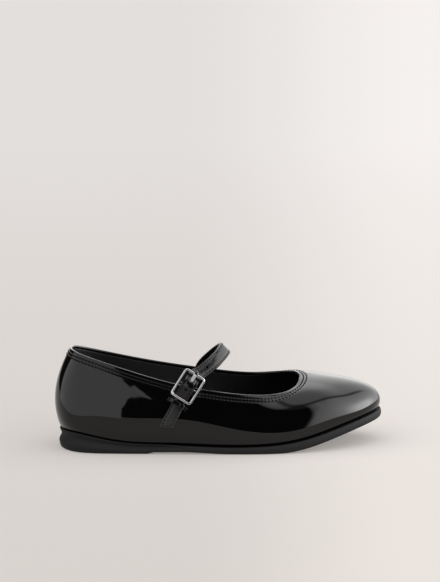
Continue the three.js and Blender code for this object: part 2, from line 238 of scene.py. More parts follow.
@dataclass(frozen=True)
class Thread:
    """Sewing thread as it shows on the leather, in millimetres."""

    pitch: float = 2.2
    length: float = 1.6
    width: float = 0.5
    height: float = 0.45

    def sew(self, mesh: bmesh.types.BMesh, start: Sequence[float], end: Sequence[float]) -> None:
        """Adds a straight row of stitches to a flat mesh.

        Args:
            mesh: Mesh that holds the stitches.
            start: First point of the row: along, across, height.
            end: Last point of the row.
        """
        first, last = Vector(start), Vector(end)
        way = last - first
        count = max(1, round(way.length / self.pitch))
        turn = way.to_track_quat("X", "Z").to_matrix().to_4x4()
        size = Matrix.Diagonal((self.length, self.width, self.height, 1))
        lie = Matrix.Rotation(math.pi / 2, 4, "Y")
        for k in range(count):
            middle = first + way * ((k + 0.5) / count)
            bmesh.ops.create_uvsphere(
                mesh, u_segments=8, v_segments=5, radius=0.5,
                matrix=Matrix.Translation(middle) @ turn @ size @ lie,
            )


# ------------------------------------------------------------------ finishes
def linear(colour: str) -> tuple[float, float, float, float]:
    """Turns an sRGB colour into linear light.

    Args:
        colour: Hex digits, such as "#0a0a0b".

    Returns:
        Red, green, blue and an alpha of one.
    """
    parts = [int(colour[k:k + 2], 16) / 255 for k in (1, 3, 5)]
    red, green, blue = (p / 12.92 if p <= 0.04045 else ((p + 0.055) / 1.055) ** 2.4 for p in parts)
    return red, green, blue, 1.0


def per_metre(size_mm: float) -> float:
    """Gives the texture scale at which one feature is about size_mm wide."""
    return 1.0 / (size_mm * MM)


def add_node(
    tree: bpy.types.NodeTree, kind: str, settings: dict[str, Any] | None = None,
    sockets: dict[Any, Any] | None = None,
) -> bpy.types.Node:
    """Adds one node with its settings, its values and its links.

    Args:
        tree: Node tree that it goes in.
        kind: Type name of the node.
        settings: Attributes to set.
        sockets: For each input, a value or the output that is linked to it.

    Returns:
        The node.
    """
    node = tree.nodes.new(kind)
    for name, value in (settings or {}).items():
        setattr(node, name, value)
    for name, value in (sockets or {}).items():
        if isinstance(value, bpy.types.NodeSocket):
            tree.links.new(value, node.inputs[name])
        else:
            node.inputs[name].default_value = value
    return node


def crossing(
    value: bpy.types.NodeSocket, span: tuple[float, float], levels: tuple[float, float] = (0.0, 1.0),
) -> dict[str, Any]:
    """Gives the sockets of a change between two levels while a value crosses a span.

    Args:
        value: What it changes with.
        span: Values where the change starts and ends.
        levels: Levels before and after it.

    Returns:
        For each input its value.
    """
    return {
        "Value": value, "From Min": span[0], "From Max": span[1],
        "To Min": levels[0], "To Max": levels[1],
    }


@dataclass(frozen=True)
class Finish:
    """A real material and the way its surface was made."""

    name: str = "finish"
    colour: str = "#808080"
    fleck: str = "#808080"  # the colour's slow variation
    roughness: float = 0.5
    ior: float = 1.5
    specular: float = 0.5
    metallic: float = 0.0
    coat: float = 0.0
    coat_roughness: float = 0.03
    coat_ior: float = 1.5
    cloud_mm: float = 12.0  # size of the colour's variation
    grain_mm: float = 0.8  # size of the surface's fine relief
    grain_depth_mm: float = 0.02
    wave_mm: float = 0.0  # size of the surface's slow waviness
    wave_depth_mm: float = 0.0
    rough_spread: float = 0.0  # how far the roughness varies

    def material(self) -> bpy.types.Material:
        """Gives the Blender material, made on the first call."""
        return bpy.data.materials.get(self.name) or self.build()

    def build(self) -> bpy.types.Material:
        """Builds the material's nodes on Object coordinates.

        Returns:
            The material.
        """
        made = bpy.data.materials.new(self.name)
        made.use_nodes = True
        tree = made.node_tree
        tree.nodes.clear()
        place = add_node(tree, "ShaderNodeTexCoord").outputs["Object"]
        cloud = add_node(
            tree, "ShaderNodeTexNoise", None,
            {"Vector": place, "Scale": per_metre(self.cloud_mm), "Detail": CLOUD_DETAIL},
        ).outputs[0]
        colour = add_node(
            tree, "ShaderNodeMix", {"data_type": "RGBA"},
            {0: cloud, 6: linear(self.colour), 7: linear(self.fleck)},
        )
        normal = self.relief(tree, place)
        shader = add_node(
            tree, "ShaderNodeBsdfPrincipled", None,
            {
                "Base Color": colour.outputs[2], "Roughness": self.roughness, "IOR": self.ior,
                "Specular IOR Level": self.specular, "Metallic": self.metallic,
                "Coat Weight": self.coat, "Coat Roughness": self.coat_roughness,
                "Coat IOR": self.coat_ior, "Normal": normal,
            },
        )
        if self.coat:
            tree.links.new(self.coat_relief(tree, place), shader.inputs["Coat Normal"])
        if self.rough_spread:
            levels = (self.roughness - self.rough_spread, self.roughness + self.rough_spread)
            spread = add_node(tree, "ShaderNodeMapRange", None, crossing(cloud, (0.0, 1.0), levels))
            tree.links.new(spread.outputs["Result"], shader.inputs["Roughness"])
        add_node(tree, "ShaderNodeOutputMaterial", None, {"Surface": shader.outputs[0]})
        return made

    def relief(self, tree: bpy.types.NodeTree, place: bpy.types.NodeSocket) -> bpy.types.NodeSocket:
        """Adds the fine grain of the surface.

        Args:
            tree: The material's node tree.
            place: Object coordinates.

        Returns:
            The normal.
        """
        grain = add_node(
            tree, "ShaderNodeTexNoise", None,
            {"Vector": place, "Scale": per_metre(self.grain_mm), "Detail": GRAIN_DETAIL},
        ).outputs[0]
        return add_node(
            tree, "ShaderNodeBump", None,
            {"Strength": 1.0, "Distance": self.grain_depth_mm * MM, "Height": grain},
        ).outputs[0]

    def coat_relief(
        self, tree: bpy.types.NodeTree, place: bpy.types.NodeSocket,
    ) -> bpy.types.NodeSocket:
        """Adds the slow waviness of the clear coat.

        Args:
            tree: The material's node tree.
            place: Object coordinates.

        Returns:
            The coat's normal.
        """
        wave = add_node(
            tree, "ShaderNodeTexNoise", None,
            {"Vector": place, "Scale": per_metre(self.wave_mm), "Detail": WAVE_DETAIL},
        ).outputs[0]
        return add_node(
            tree, "ShaderNodeBump", None,
            {"Strength": 1.0, "Distance": self.wave_depth_mm * MM, "Height": wave},
        ).outputs[0]


@dataclass(frozen=True)
class PebbledFinish(Finish):
    """A finish whose relief is made of small pebbles with creases between them."""

    def relief(self, tree: bpy.types.NodeTree, place: bpy.types.NodeSocket) -> bpy.types.NodeSocket:
        """Adds the pebbles of the hide.

        Args:
            tree: The material's node tree.
            place: Object coordinates.

        Returns:
            The normal.
        """
        pebble = add_node(
            tree, "ShaderNodeTexVoronoi", {"feature": "SMOOTH_F1"},
            {"Vector": place, "Scale": per_metre(self.grain_mm)},
        )
        return add_node(
            tree, "ShaderNodeBump", {"invert": True},
            {
                "Strength": 1.0, "Distance": self.grain_depth_mm * MM,
                "Height": pebble.outputs["Distance"],
            },
        ).outputs[0]


# Calf under a thick clear polyurethane coat: deep black with mirror reflections, faintly wavy where the
# leather was pulled over the last
PATENT = Finish(
    name="patent_leather_lasted", colour="#020203", fleck="#040405", roughness=0.5, specular=0.0,
    coat=1.0, coat_roughness=0.025, coat_ior=1.42, cloud_mm=18, grain_mm=0.7, grain_depth_mm=0.01,
    wave_mm=9.0, wave_depth_mm=0.008,
)
# The same leather cut into straps: thinner coat over leather that has been folded and sewn, so its
# reflections break up more
STRAP_PATENT = Finish(
    name="patent_leather_strap", colour="#060607", fleck="#0c0c0d", roughness=0.5, specular=0.0,
    coat=1.0, coat_roughness=0.05, coat_ior=1.4, cloud_mm=6, grain_mm=0.6, grain_depth_mm=0.012,
    wave_mm=1.6, wave_depth_mm=0.05,
)
# The strap leather at the tab: embossed with a fine grain under its coat, so that it never mirrors
GRAINED_PATENT = Finish(
    name="patent_leather_grained", colour="#070708", fleck="#0d0d0e", roughness=0.5, specular=0.1,
    coat=1.0, coat_roughness=0.3, coat_ior=1.46, cloud_mm=4, grain_mm=0.6, grain_depth_mm=0.02,
    wave_mm=1.1, wave_depth_mm=0.05,
)
# Pigmented pigskin lining, glued and pressed: soft black with open pores
LINING = PebbledFinish(
    name="lining_pigskin", colour="#060607", fleck="#0a0a0b", roughness=0.62, specular=0.35,
    cloud_mm=9, grain_mm=0.9, grain_depth_mm=0.05, rough_spread=0.08,
)
# Sock of split leather, rolled smooth: a little worn-looking even when new
SOCK = PebbledFinish(
    name="sock_split_leather", colour="#101011", fleck="#1a1a1b", roughness=0.55, specular=0.35,
    cloud_mm=14, grain_mm=1.1, grain_depth_mm=0.06, rough_spread=0.1,
)
# Thermoplastic rubber moulded in a spark-eroded mould: even fine matt, dark charcoal
RUBBER = Finish(
    name="moulded_rubber", colour="#171718", fleck="#1b1b1c", roughness=0.7, specular=0.2,
    cloud_mm=10, grain_mm=0.35, grain_depth_mm=0.012, rough_spread=0.05,
)
# Zinc casting, tumbled and nickel plated: bright, with edges softened by tumbling
NICKEL = Finish(
    name="nickel_plated_zinc", colour="#cdcdd0", fleck="#bcbcc0", roughness=0.1, metallic=1.0,
    cloud_mm=5, grain_mm=1.4, grain_depth_mm=0.008, rough_spread=0.05,
)
# Drawn steel wire with fine drawing lines, coloured darker than the plating as painted shade, for the pin
# lies in the shadow under the strap and tab
PIN_PAINTED_SHADE = Finish(
    name="pin_metal_with_painted_shade", colour="#5a5b5e", fleck="#4a4b4e", roughness=0.35, metallic=1.0,
    cloud_mm=3, grain_mm=0.3, grain_depth_mm=0.01, rough_spread=0.05,
)
# Bonded polyester thread, pulled tight: black with a low sheen from its filaments
THREAD = Finish(
    name="bonded_polyester_thread", colour="#010101", fleck="#030303", roughness=0.36, specular=0.08,
    cloud_mm=3, grain_mm=0.25, grain_depth_mm=0.03,
)


# ------------------------------------------------------------------ the last
@dataclass
class Last:
    """Shape that the upper is pulled over, by twenty stations round the shoe.

    Each row runs from the feather line to the topline: footX, footY, footZ, topX, topY, topZ, then how
    the wall leaves the sole (outwards by flare, upwards by rise) and comes to the topline (from
    outwards by out, from below by drop). The first row is the back of the heel, then the outer side.
    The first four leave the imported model's wall by up to 1.6 mm, for a straighter back to the heel.
    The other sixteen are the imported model's own.
    """

    rows: Sequence[Sequence[float]] = (
        (0.8, 0.0, 12.8, 7.0, 0.0, 62.4, 6.6, 16.9, 9.0, 18.1),
        (6.5, -16.0, 13.0, 10.8, -13.0, 61.2, 7.2, 9.7, 3.2, 23.5),
        (20, -23.4, 10.9, 24.0, -19.4, 57.1, 4.8, 12.8, 2.6, 20.5),
        (40, -26.8, 7.5, 46.0, -22.8, 50.0, 3.9, 12.7, 3.4, 15.0),
        (64, -29.4, 6.4, 70.0, -25.2, 43.2, 3.2, 13.6, 4.6, 11.0),
        (92, -32.4, 5.0, 96.0, -27.0, 38.1, 2.8, 12.5, 5.3, 8.7),
        (120, -35.6, 5.0, 122.0, -26.6, 35.2, 2.7, 11.5, 6.2, 8.0),
        (146, -34.6, 7.4, 139.0, -21.4, 35.7, 3.0, 12.0, 8.7, 4.4),
        (170, -28.6, 13.3, 147.8, -13.2, 38.0, 3.8, 13.4, 16.9, 0.4),
        (191, -17.4, 18.7, 151.2, -6.0, 40.4, 5.5, 12.0, 24.6, 1.1),
        (202.8, 2.0, 20.5, 152.4, 1.0, 42.0, 7.4, 15.5, 30, 0.6),
        (193, 20.2, 18.9, 150.8, 7.6, 43.2, 5.7, 13.0, 24.8, 1.0),
        (172, 30.8, 13.5, 146.8, 14.0, 42.6, 4.0, 13.5, 17, 0.5),
        (148, 34.6, 7.4, 137.5, 19.8, 41.2, 3.2, 13, 8.5, 4),
        (120, 32.5, 5.2, 121.0, 23.2, 40.2, 3.2, 14, 5.0, 9),
        (92, 25.8, 5.2, 96.0, 24.4, 42.8, 3.6, 15, 3.6, 12),
        (64, 22.2, 5.4, 70.0, 23.2, 47.2, 4.0, 15, 3.0, 14),
        (40, 22.8, 7.8, 46.0, 21.6, 52.2, 4.0, 15, 3.2, 15),
        (20, 22.6, 11.4, 24.0, 19.6, 57.6, 5.0, 16, 4.2, 17),
        (6.5, 15.6, 13.0, 10.8, 12.8, 61.4, 6.6, 16, 6.2, 18),
    )
    rounds: int = 60  # rounds of smoothing that make the curve pass through the rows
    outer_span: tuple[float, float] = (0.02, 0.48)  # places round the shoe that its outer side takes
    inner_span: tuple[float, float] = (0.52, 0.98)
    search_rounds: int = 6
    search_grid: int = 60  # places tried each way in a round
    nudge: float = 1e-3  # step up the wall that finds its slope
    fineness: int = 2400  # stations of the working table
    heights: int = 81  # places up the wall at which its length is measured
    frames: Points = field(init=False)  # four control points of the wall at each station
    lengths: Points = field(init=False)  # distance below the topline, by station and place
    around: Points = field(init=False)  # distance along the topline at each station

    def __post_init__(self) -> None:
        """Works out the table of stations."""
        rows = np.array(self.rows, float)
        control = rows.copy()
        for _ in range(self.rounds):
            control = (6 * rows - np.roll(control, 1, 0) - np.roll(control, -1, 0)) / 4
        place = np.arange(self.fineness + 1) / self.fineness * len(rows)
        index = np.floor(place).astype(int)
        w = (place - index)[:, None]
        near = [control[(index + k) % len(rows)] for k in (-1, 0, 1, 2)]
        table = (
            (1 - w) ** 3 * near[0] + (3 * w**3 - 6 * w**2 + 4) * near[1]
            + (-3 * w**3 + 3 * w**2 + 3 * w + 1) * near[2] + w**3 * near[3]
        ) / 6
        foot, top = table[:, 0:3], table[:, 3:6]
        low = foot + self.outward(foot) * table[:, 6:7] + UP * table[:, 7:8]
        high = top + self.outward(top) * table[:, 8:9] - UP * table[:, 9:10]
        self.frames = np.stack([foot, low, high, top], axis=1)
        share = np.linspace(1, 0, self.heights)
        walls = np.einsum("hk,nkj->nhj", self.weights(share), self.frames)
        steps = np.linalg.norm(np.diff(walls, axis=1), axis=2)
        self.lengths = np.hstack([np.zeros((len(steps), 1)), np.cumsum(steps, axis=1)])
        rim = np.linalg.norm(np.diff(top, axis=0), axis=1)
        self.around = np.concatenate([[0], np.cumsum(rim)])

    @staticmethod
    def outward(line: Points) -> Points:
        """Gives the level direction out of a closed line.

        Args:
            line: Points of the line, the last one on the first.

        Returns:
            The direction at each point.
        """
        open_line = line[:-1]
        step = np.roll(open_line, -1, 0) - np.roll(open_line, 1, 0)
        out = unit(np.stack([step[:, 1], -step[:, 0], 0 * step[:, 0]], axis=1))
        return np.vstack([out, out[:1]])

    @staticmethod
    def weights(v: Points) -> Points:
        """Gives the four weights of a cubic Bezier curve at each place v."""
        v = np.asarray(v, float)
        return np.stack([(1 - v) ** 3, 3 * (1 - v) ** 2 * v, 3 * (1 - v) * v**2, v**3], axis=-1)

    def frame(self, u: Points) -> tuple[Points, Points]:
        """Gives the wall's control points at u, and how they change along the shoe.

        Args:
            u: Places round the shoe, from 0 to 1.

        Returns:
            The control points and their change, four rows of three for each place.
        """
        place = (np.asarray(u, float) % 1.0) * self.fineness
        index = np.minimum(place.astype(int), self.fineness - 1)
        share = (place - index)[:, None, None]
        here, there = self.frames[index], self.frames[index + 1]
        return here + (there - here) * share, (there - here) * self.fineness

    def station(self, u: Points) -> Points:
        """Gives the working table's nearest station to each place round the shoe."""
        return np.rint((np.asarray(u, float) % 1.0) * self.fineness).astype(int)

    def place_at(self, u: Points, below: Points) -> Points:
        """Finds the places up the wall that lie some distance below the topline.

        Args:
            u: Places round the shoe.
            below: Distances below the topline.

        Returns:
            The place v of each, from 0 at the feather line to 1 at the topline.
        """
        lengths = self.lengths[self.station(u)]
        below = np.clip(below, 0, lengths[:, -1] - 1e-9)
        step = np.clip((lengths <= below[:, None]).sum(axis=1) - 1, 0, self.heights - 2)
        picked = np.arange(len(lengths))
        low, high = lengths[picked, step], lengths[picked, step + 1]
        share = (below - low) / np.maximum(high - low, 1e-9)
        return 1 - (step + share) / (self.heights - 1)

    def height(self, u: Points) -> Points:
        """Gives the length of the wall from topline to feather line at each u."""
        return self.lengths[self.station(u), -1]

    def wall(self, u: Points, below: Points, proud: Points) -> Points:
        """Gives points on, over or under the outer face of the upper.

        Args:
            u: Places round the shoe.
            below: Distances below the topline. Less than 0 is above it.
            proud: Heights over the outer face. Less than 0 is inside it.

        Returns:
            The points.
        """
        point, normal, upwards = self.touch(u, self.place_at(u, np.maximum(below, 0)))
        over = np.maximum(-np.asarray(below, float), 0)[:, None]
        return point + normal * np.asarray(proud, float)[:, None] + upwards * over

    def touch(self, u: Points, v: Points) -> tuple[Points, Points, Points]:
        """Gives the outer face of the upper at u and v.

        Args:
            u: Places round the shoe.
            v: Places up the wall.

        Returns:
            The points, the normals and the upward directions.
        """
        frame, change = self.frame(u)
        weights = self.weights(v)
        lower = self.weights(np.clip(v - self.nudge, 0, 1))
        upper = self.weights(np.clip(v + self.nudge, 0, 1))
        point = np.einsum("nk,nkj->nj", weights, frame)
        along = np.einsum("nk,nkj->nj", weights, change)
        upwards = unit(np.einsum("nk,nkj->nj", upper - lower, frame))
        return point, unit(np.cross(along, upwards)), upwards

    def on_wall(self, x: float, z: float, side: int) -> tuple[Points, Points]:
        """Finds where the wall stands at a given x and z.

        Args:
            x: Distance from the heel.
            z: Height above the ground.
            side: -1 for the outer side, 1 for the inner side.

        Returns:
            The point and the wall's normal there.
        """
        u_low, u_high = self.outer_span if side < 0 else self.inner_span
        v_low, v_high = 0.0, 1.0
        count = self.search_grid
        for _ in range(self.search_rounds):
            us, vs = np.meshgrid(np.linspace(u_low, u_high, count), np.linspace(v_low, v_high, count))
            point, normal, _upwards = self.touch(us.ravel(), vs.ravel())
            best = np.argmin((point[:, 0] - x) ** 2 + (point[:, 2] - z) ** 2)
            u, v = us.ravel()[best], vs.ravel()[best]
            u_reach, v_reach = 2 * (u_high - u_low) / count, 2 * (v_high - v_low) / count
            u_low, u_high = u - u_reach, u + u_reach
            v_low, v_high = max(v - v_reach, 0), min(v + v_reach, 1)
        return point[best], normal[best]

    def rim_place(self, distance: Points) -> Points:
        """Gives u at a distance along the topline from the middle of the heel."""
        whole = self.around[-1]
        return np.interp(np.mod(distance, whole), self.around, np.linspace(0, 1, len(self.around)))

    def over_rim(self, flat: Points) -> Points:
        """Surface for trim: along the topline, below it, and over the outer face."""
        return self.wall(self.rim_place(flat[:, 0]), flat[:, 1], flat[:, 2])


# ------------------------------------------------------------------ the workbench
@dataclass
class Workbench:
    """Takes finished meshes to the model's frame and makes them pieces of the shoe."""

    last: Last
    shift: Vector = field(init=False)

    def __post_init__(self) -> None:
        """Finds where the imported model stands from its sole."""
        low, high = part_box("outsole")
        foot = self.last.frames[:, 0]
        lip = foot + self.last.outward(foot) * SoleUnit.widest
        middle = (lip[:, 1].min() + lip[:, 1].max()) / 2
        self.shift = Vector((low.x / MM, (low.y + high.y) / 2 / MM - middle, 0))

    def to_model(self, point: Sequence[float]) -> Vector:
        """Turns a point of the shoemaker's frame into metres of the model."""
        return (Vector(point) + self.shift) * MM

    def piece(
        self, name: str, mesh: bmesh.types.BMesh, finish: Finish, slot: Slot,
        replaces: Sequence[str] = (),
    ) -> bpy.types.Object:
        """Makes a finished mesh a piece that rides on the shoe.

        Args:
            name: Name of the piece.
            mesh: Its mesh in the shoemaker's frame, which is used up.
            finish: Its material.
            slot: The record's slot; not used.
            replaces: CAD nodes that it stands for.

        Returns:
            The piece.
        """
        bmesh.ops.transform(
            mesh, matrix=Matrix.Scale(MM, 4) @ Matrix.Translation(self.shift), verts=mesh.verts,
        )
        for face in mesh.faces:
            face.smooth = True
        data = bpy.data.meshes.new(name)
        mesh.to_mesh(data)
        mesh.free()
        data.materials.append(finish.material())
        made = bpy.data.objects.new(name, data)
        bpy.context.scene.collection.objects.link(made)
        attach(made, "root")
        if replaces:
            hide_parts(*replaces)
        log.info("%s: %d faces, %s", name, len(data.polygons), finish.name)
        return made


@dataclass
class Upper:
    """Patent shell with its folded topline, the lining inside it, and the two rows of stitches."""

    last: Last
    bench: Workbench
    shell: float = 0.95  # patent leather with its backing
    wall: float = 1.8  # shell and lining together, as in the CAD
    crown: float = 0.85  # height of the rolled edge
    fold: float = 1.15  # how far the fold shows inside
    fold_edge: float = 0.2  # rounding of the fold's cut edge
    fold_rows: tuple[float, float] = (0.5, 1.0)  # distances below the topline of the fold's rows
    stitch_rows: tuple[float, float] = (2.1, 4.1)
    trough: float = 0.3  # how deep the thread pulls the leather in
    trough_width: float = 0.38
    tuck: float = 0.7  # how far the leather turns under at the feather line
    foot_rows: tuple[float, ...] = (0, 0.25, 0.6, 1.1, 1.7, 2.4)  # above the feather line
    wall_steps: int = 26  # faces up the plain wall between
    top_rows: tuple[float, ...] = (
        6, 5.3, 4.8, 4.45, 4.1, 3.75, 3.4, 3.1, 2.75, 2.45, 2.1, 1.75, 1.4, 1.0, 0.6, 0.25, 0)
    crown_steps: int = 9
    hidden_shares: tuple[float, ...] = (0.25, 0.5, 0.75)  # of the way down the shell's hidden face
    foot_depth: float = 0.25  # how much thicker the shell is at the feather line
    glue: float = 0.05  # between shell and lining
    lining_gap: float = 0.12  # between the fold's edge and the lining's
    lining_lip: tuple[tuple[float, float], ...] = (
        (-0.06, 0.5), (0, 0.15), (0.2, 0), (0.7, 0))  # below the lining's edge, short of its face
    lining_steps: int = 22
    around: int = 640
    thread: Thread = Thread(pitch=2.2, length=1.45, width=0.85, height=0.8)
    thread_height: float = -0.1  # of the thread's middle over the leather

    def skin(self, rows: Rows, around: int) -> bmesh.types.BMesh:
        """Wraps a closed section round the last.

        Args:
            rows: Corners of the section: fixed distance below the topline, share of the wall's
                length to add to it, and depth inside the outer face.
            around: Faces round the shoe.

        Returns:
            The closed mesh.
        """
        section = np.array(rows)

        def surface(flat: Points) -> Points:
            """Places the grid, with columns round the shoe and rows round the section.

            Args:
                flat: Corners of the grid.

            Returns:
                Their places.
            """
            u = (flat[:, 0] % around) / around
            row = section[flat[:, 1].astype(int) % len(section)]
            below = row[:, 0] + row[:, 1] * self.last.height(u)
            return self.last.wall(u, below, -row[:, 2])

        return weld(bend(grid(around, len(rows)), surface))

    def dent(self, below: float) -> float:
        """Gives how far the stitching pulls the leather in at a distance below the topline."""
        width = self.trough_width
        return sum(self.trough * math.exp(-(((below - row) / width) ** 2)) for row in self.stitch_rows)

    def shell_rows(self) -> Rows:
        """Gives the section of the patent shell, from the feather line up, over and down inside.

        Returns:
            The section's corners.
        """
        top, foot, edge = self.top_rows[0], self.foot_rows[-1], self.fold_edge
        rows: Rows = [(-x, 1, self.tuck * (1 - x / foot) ** 2) for x in self.foot_rows]
        shares = [1 - k / self.wall_steps for k in range(1, self.wall_steps)]
        rows += [(top - share * (top + foot), share, 0) for share in shares]
        rows += [(x, 0, self.dent(x)) for x in self.top_rows]
        turns = [math.pi * k / self.crown_steps for k in range(1, self.crown_steps)]
        rows += [(-self.crown * math.sin(a), 0, self.wall / 2 * (1 - math.cos(a))) for a in turns]
        rows += [(x, 0, self.wall) for x in (0, *self.fold_rows)]
        rows += [(self.fold, 0, self.wall - edge), (self.fold, 0, self.shell + edge)]
        rows += [(self.fold + edge, 0, self.shell), (top, 0, self.shell)]
        rows += [(top - share * top, share, self.shell) for share in self.hidden_shares]
        return [*rows, (0, 1, self.shell + self.foot_depth)]

    def lining_rows(self) -> Rows:
        """Gives the section of the lining, up its hidden face and down the one that shows.

        Returns:
            The section's corners.
        """
        hidden = self.shell + self.glue
        start = self.fold + self.lining_gap
        rows: Rows = [(start - share * start, share, hidden) for share in (1, 0.75, 0.5, 0.25, 0)]
        rows += [(start + below, 0, self.wall - short) for below, short in self.lining_lip]
        shares = [k / self.lining_steps for k in range(1, self.lining_steps + 1)]
        return rows + [(start - share * start, share, self.wall) for share in shares]

    def build(self) -> None:
        """Builds and dresses the shell, the lining and the topline stitches."""
        shell = self.skin(self.shell_rows(), self.around)
        self.bench.piece("upper_shell", shell, PATENT, Slot.UPPER, ["upper"])
        lining = self.skin(self.lining_rows(), self.around // 2)
        self.bench.piece("upper_lining", lining, LINING, Slot.SOCK)
        stitches = bmesh.new()
        whole = self.last.around[-1]
        for row in self.stitch_rows:
            start, end = (0, row, self.thread_height), (whole, row, self.thread_height)
            self.thread.sew(stitches, start, end)
        bend(stitches, self.last.over_rim)
        self.bench.piece("topline_stitches", weld(stitches, THREAD_REACH), THREAD, Slot.UPPER)


@dataclass
class SoleUnit:
    """Moulded rubber sole: low heel, raised waist, flat ball, sprung toe and a lip round the upper."""

    last: Last
    bench: Workbench
    widest: float = 1.9  # how far the lip stands out at its widest
    gap: float = 0.3  # under the upper
    lip: tuple[tuple[float, float, float], ...] = (  # outwards, downwards, share of the way in
        (-1.6, 0.5, 1), (-1.6, 0.5, 0.5), (-1.6, 0.5, 0), (-0.7, 0.45, 0), (0, 0, 0))
    # The side's outline from lip to ground: share of its height, then how far out
    fore_side: tuple = ((1, 0.9), (0.93, 1.5), (0.6, 1.9), (0.32, 1.8), (0.1, 1.1), (0, -0.4))
    heel_side: tuple = ((1, 0.0), (0.95, 0.35), (0.7, -0.7), (0.36, 0.8), (0.1, 0.2), (0, -1.4))
    side_steps: int = 26
    bottom: tuple[float, ...] = (  # shares of the way to the middle
        0.06, 0.12, 0.18, 0.25, 0.32, 0.4, 0.48, 0.56, 0.64, 0.72, 0.8, 0.88, 0.94, 1.0)
    heel_end: float = 56  # x where the heel's outline starts to give way to the forepart's
    fore_start: float = 84
    breast: tuple[float, float, float] = (53, 57.5, 1.0)  # rear, front, step
    waist: tuple[float, float] = (74, 1.2)  # place and height of its peak
    ball: tuple[float, float] = (104, 134)
    spring: tuple[float, float] = (207, 14.6)
    rib: float = 4.6  # from one tread groove to the next
    sweep: float = 0.12  # how far a groove runs back for each mm out from the middle
    groove: float = 0.7  # depth of a tread groove
    groove_wave: tuple[float, float] = (0.62, 0.9)  # heights of a wave where a groove starts and is full
    treads: tuple = ((6, 9, 46, 49), (88, 92, 180, 186))  # x where grooves start, are full, fade and end
    tread_rim: tuple[float, float] = (0.1, 0.2)  # shares of the way in where grooves start and are full
    around: int = 520
    reach: float = 0.004  # within which corners are joined

    def tread(self, x: Points) -> Points:
        """Gives the height of the tread above the ground.

        Args:
            x: Distances from the back of the sole.

        Returns:
            The height at each.
        """
        rear, front, step = self.breast
        peak, rise = self.waist
        heel = np.clip((x - rear) / (front - rear), 0, 1) * step
        waist = heel + (rise - step) * smoothstep(x, front, peak)
        waist = np.where(x < peak, waist, rise * (1 - smoothstep(x, peak, self.ball[0])))
        toe = self.spring[1] * smoothstep(x, self.ball[1], self.spring[0])
        return np.where(x < self.ball[1], waist, toe)

    def build(self) -> None:
        """Builds and dresses the sole."""
        foot = self.last.frames[:, 0]
        out = self.last.outward(foot)
        places = np.linspace(0, 1, self.side_steps + 1)
        fore = catmull_rom(np.array([(*p, 0) for p in self.fore_side]), places)
        heel = catmull_rom(np.array([(*p, 0) for p in self.heel_side]), places)
        side = [(0, 0, 0)] * len(places)
        table = np.array([*self.lip, *side, *[(0, 0, share) for share in self.bottom]], float)
        inset, drop, inwards = table.T
        last_side = len(self.lip) + self.side_steps

        def ring(u: Points, row: Points) -> Points:
            """Places corners of the section on their own side of the sole.

            Args:
                u: Places round the sole.
                row: Corner of the section at each.

            Returns:
                Their places.
            """
            index = self.last.station(u)
            base, way = foot[index], out[index]
            step = np.clip(row - len(self.lip), 0, self.side_steps)
            heelness = (1 - smoothstep(base[:, 0], self.heel_end, self.fore_start))[:, None]
            profile = fore[step] * (1 - heelness) + heel[step] * heelness
            point = base + way * (profile[:, 1] + inset[row])[:, None]
            low, high = self.tread(point[:, 0]), base[:, 2] - self.gap
            height = low + (high - low) * np.clip(profile[:, 0], 0, 1)
            point[:, 2] = np.where(row < len(self.lip), high - drop[row], height)
            return point

        def surface(flat: Points) -> Points:
            """Places the grid, with columns round the sole and rows round its section.

            Args:
                flat: Corners of the grid.

            Returns:
                Their places.
            """
            u = (flat[:, 0] % self.around) / self.around
            row = flat[:, 1].astype(int)
            near, far = ring(u, row), ring(1 - u, row)
            share = inwards[row]
            point = near + (far - near) / 2 * share[:, None]
            grooved = self.tread(point[:, 0]) + self.cut(point, share)
            point[:, 2] = np.where(row > last_side, grooved, point[:, 2])
            return point

        mesh = weld(bend(grid(self.around, len(table) - 1), surface), self.reach)
        self.bench.piece("outsole_unit", mesh, RUBBER, Slot.SOLE, ["outsole"])

    def cut(self, point: Points, inwards: Points) -> Points:
        """Gives how far the tread's grooves cut in: bars across the heel and the forepart.

        Args:
            point: Points of the tread.
            inwards: Share of the way from the edge to the middle at each.

        Returns:
            The depth at each.
        """
        x = point[:, 0]
        wave = 0.5 + 0.5 * np.cos(2 * np.pi * (x + self.sweep * np.abs(point[:, 1])) / self.rib)
        depth = smoothstep(wave, *self.groove_wave) * self.groove
        where = sum(smoothstep(x, a, b) * (1 - smoothstep(x, c, d)) for a, b, c, d in self.treads)
        return depth * where * smoothstep(inwards, *self.tread_rim)


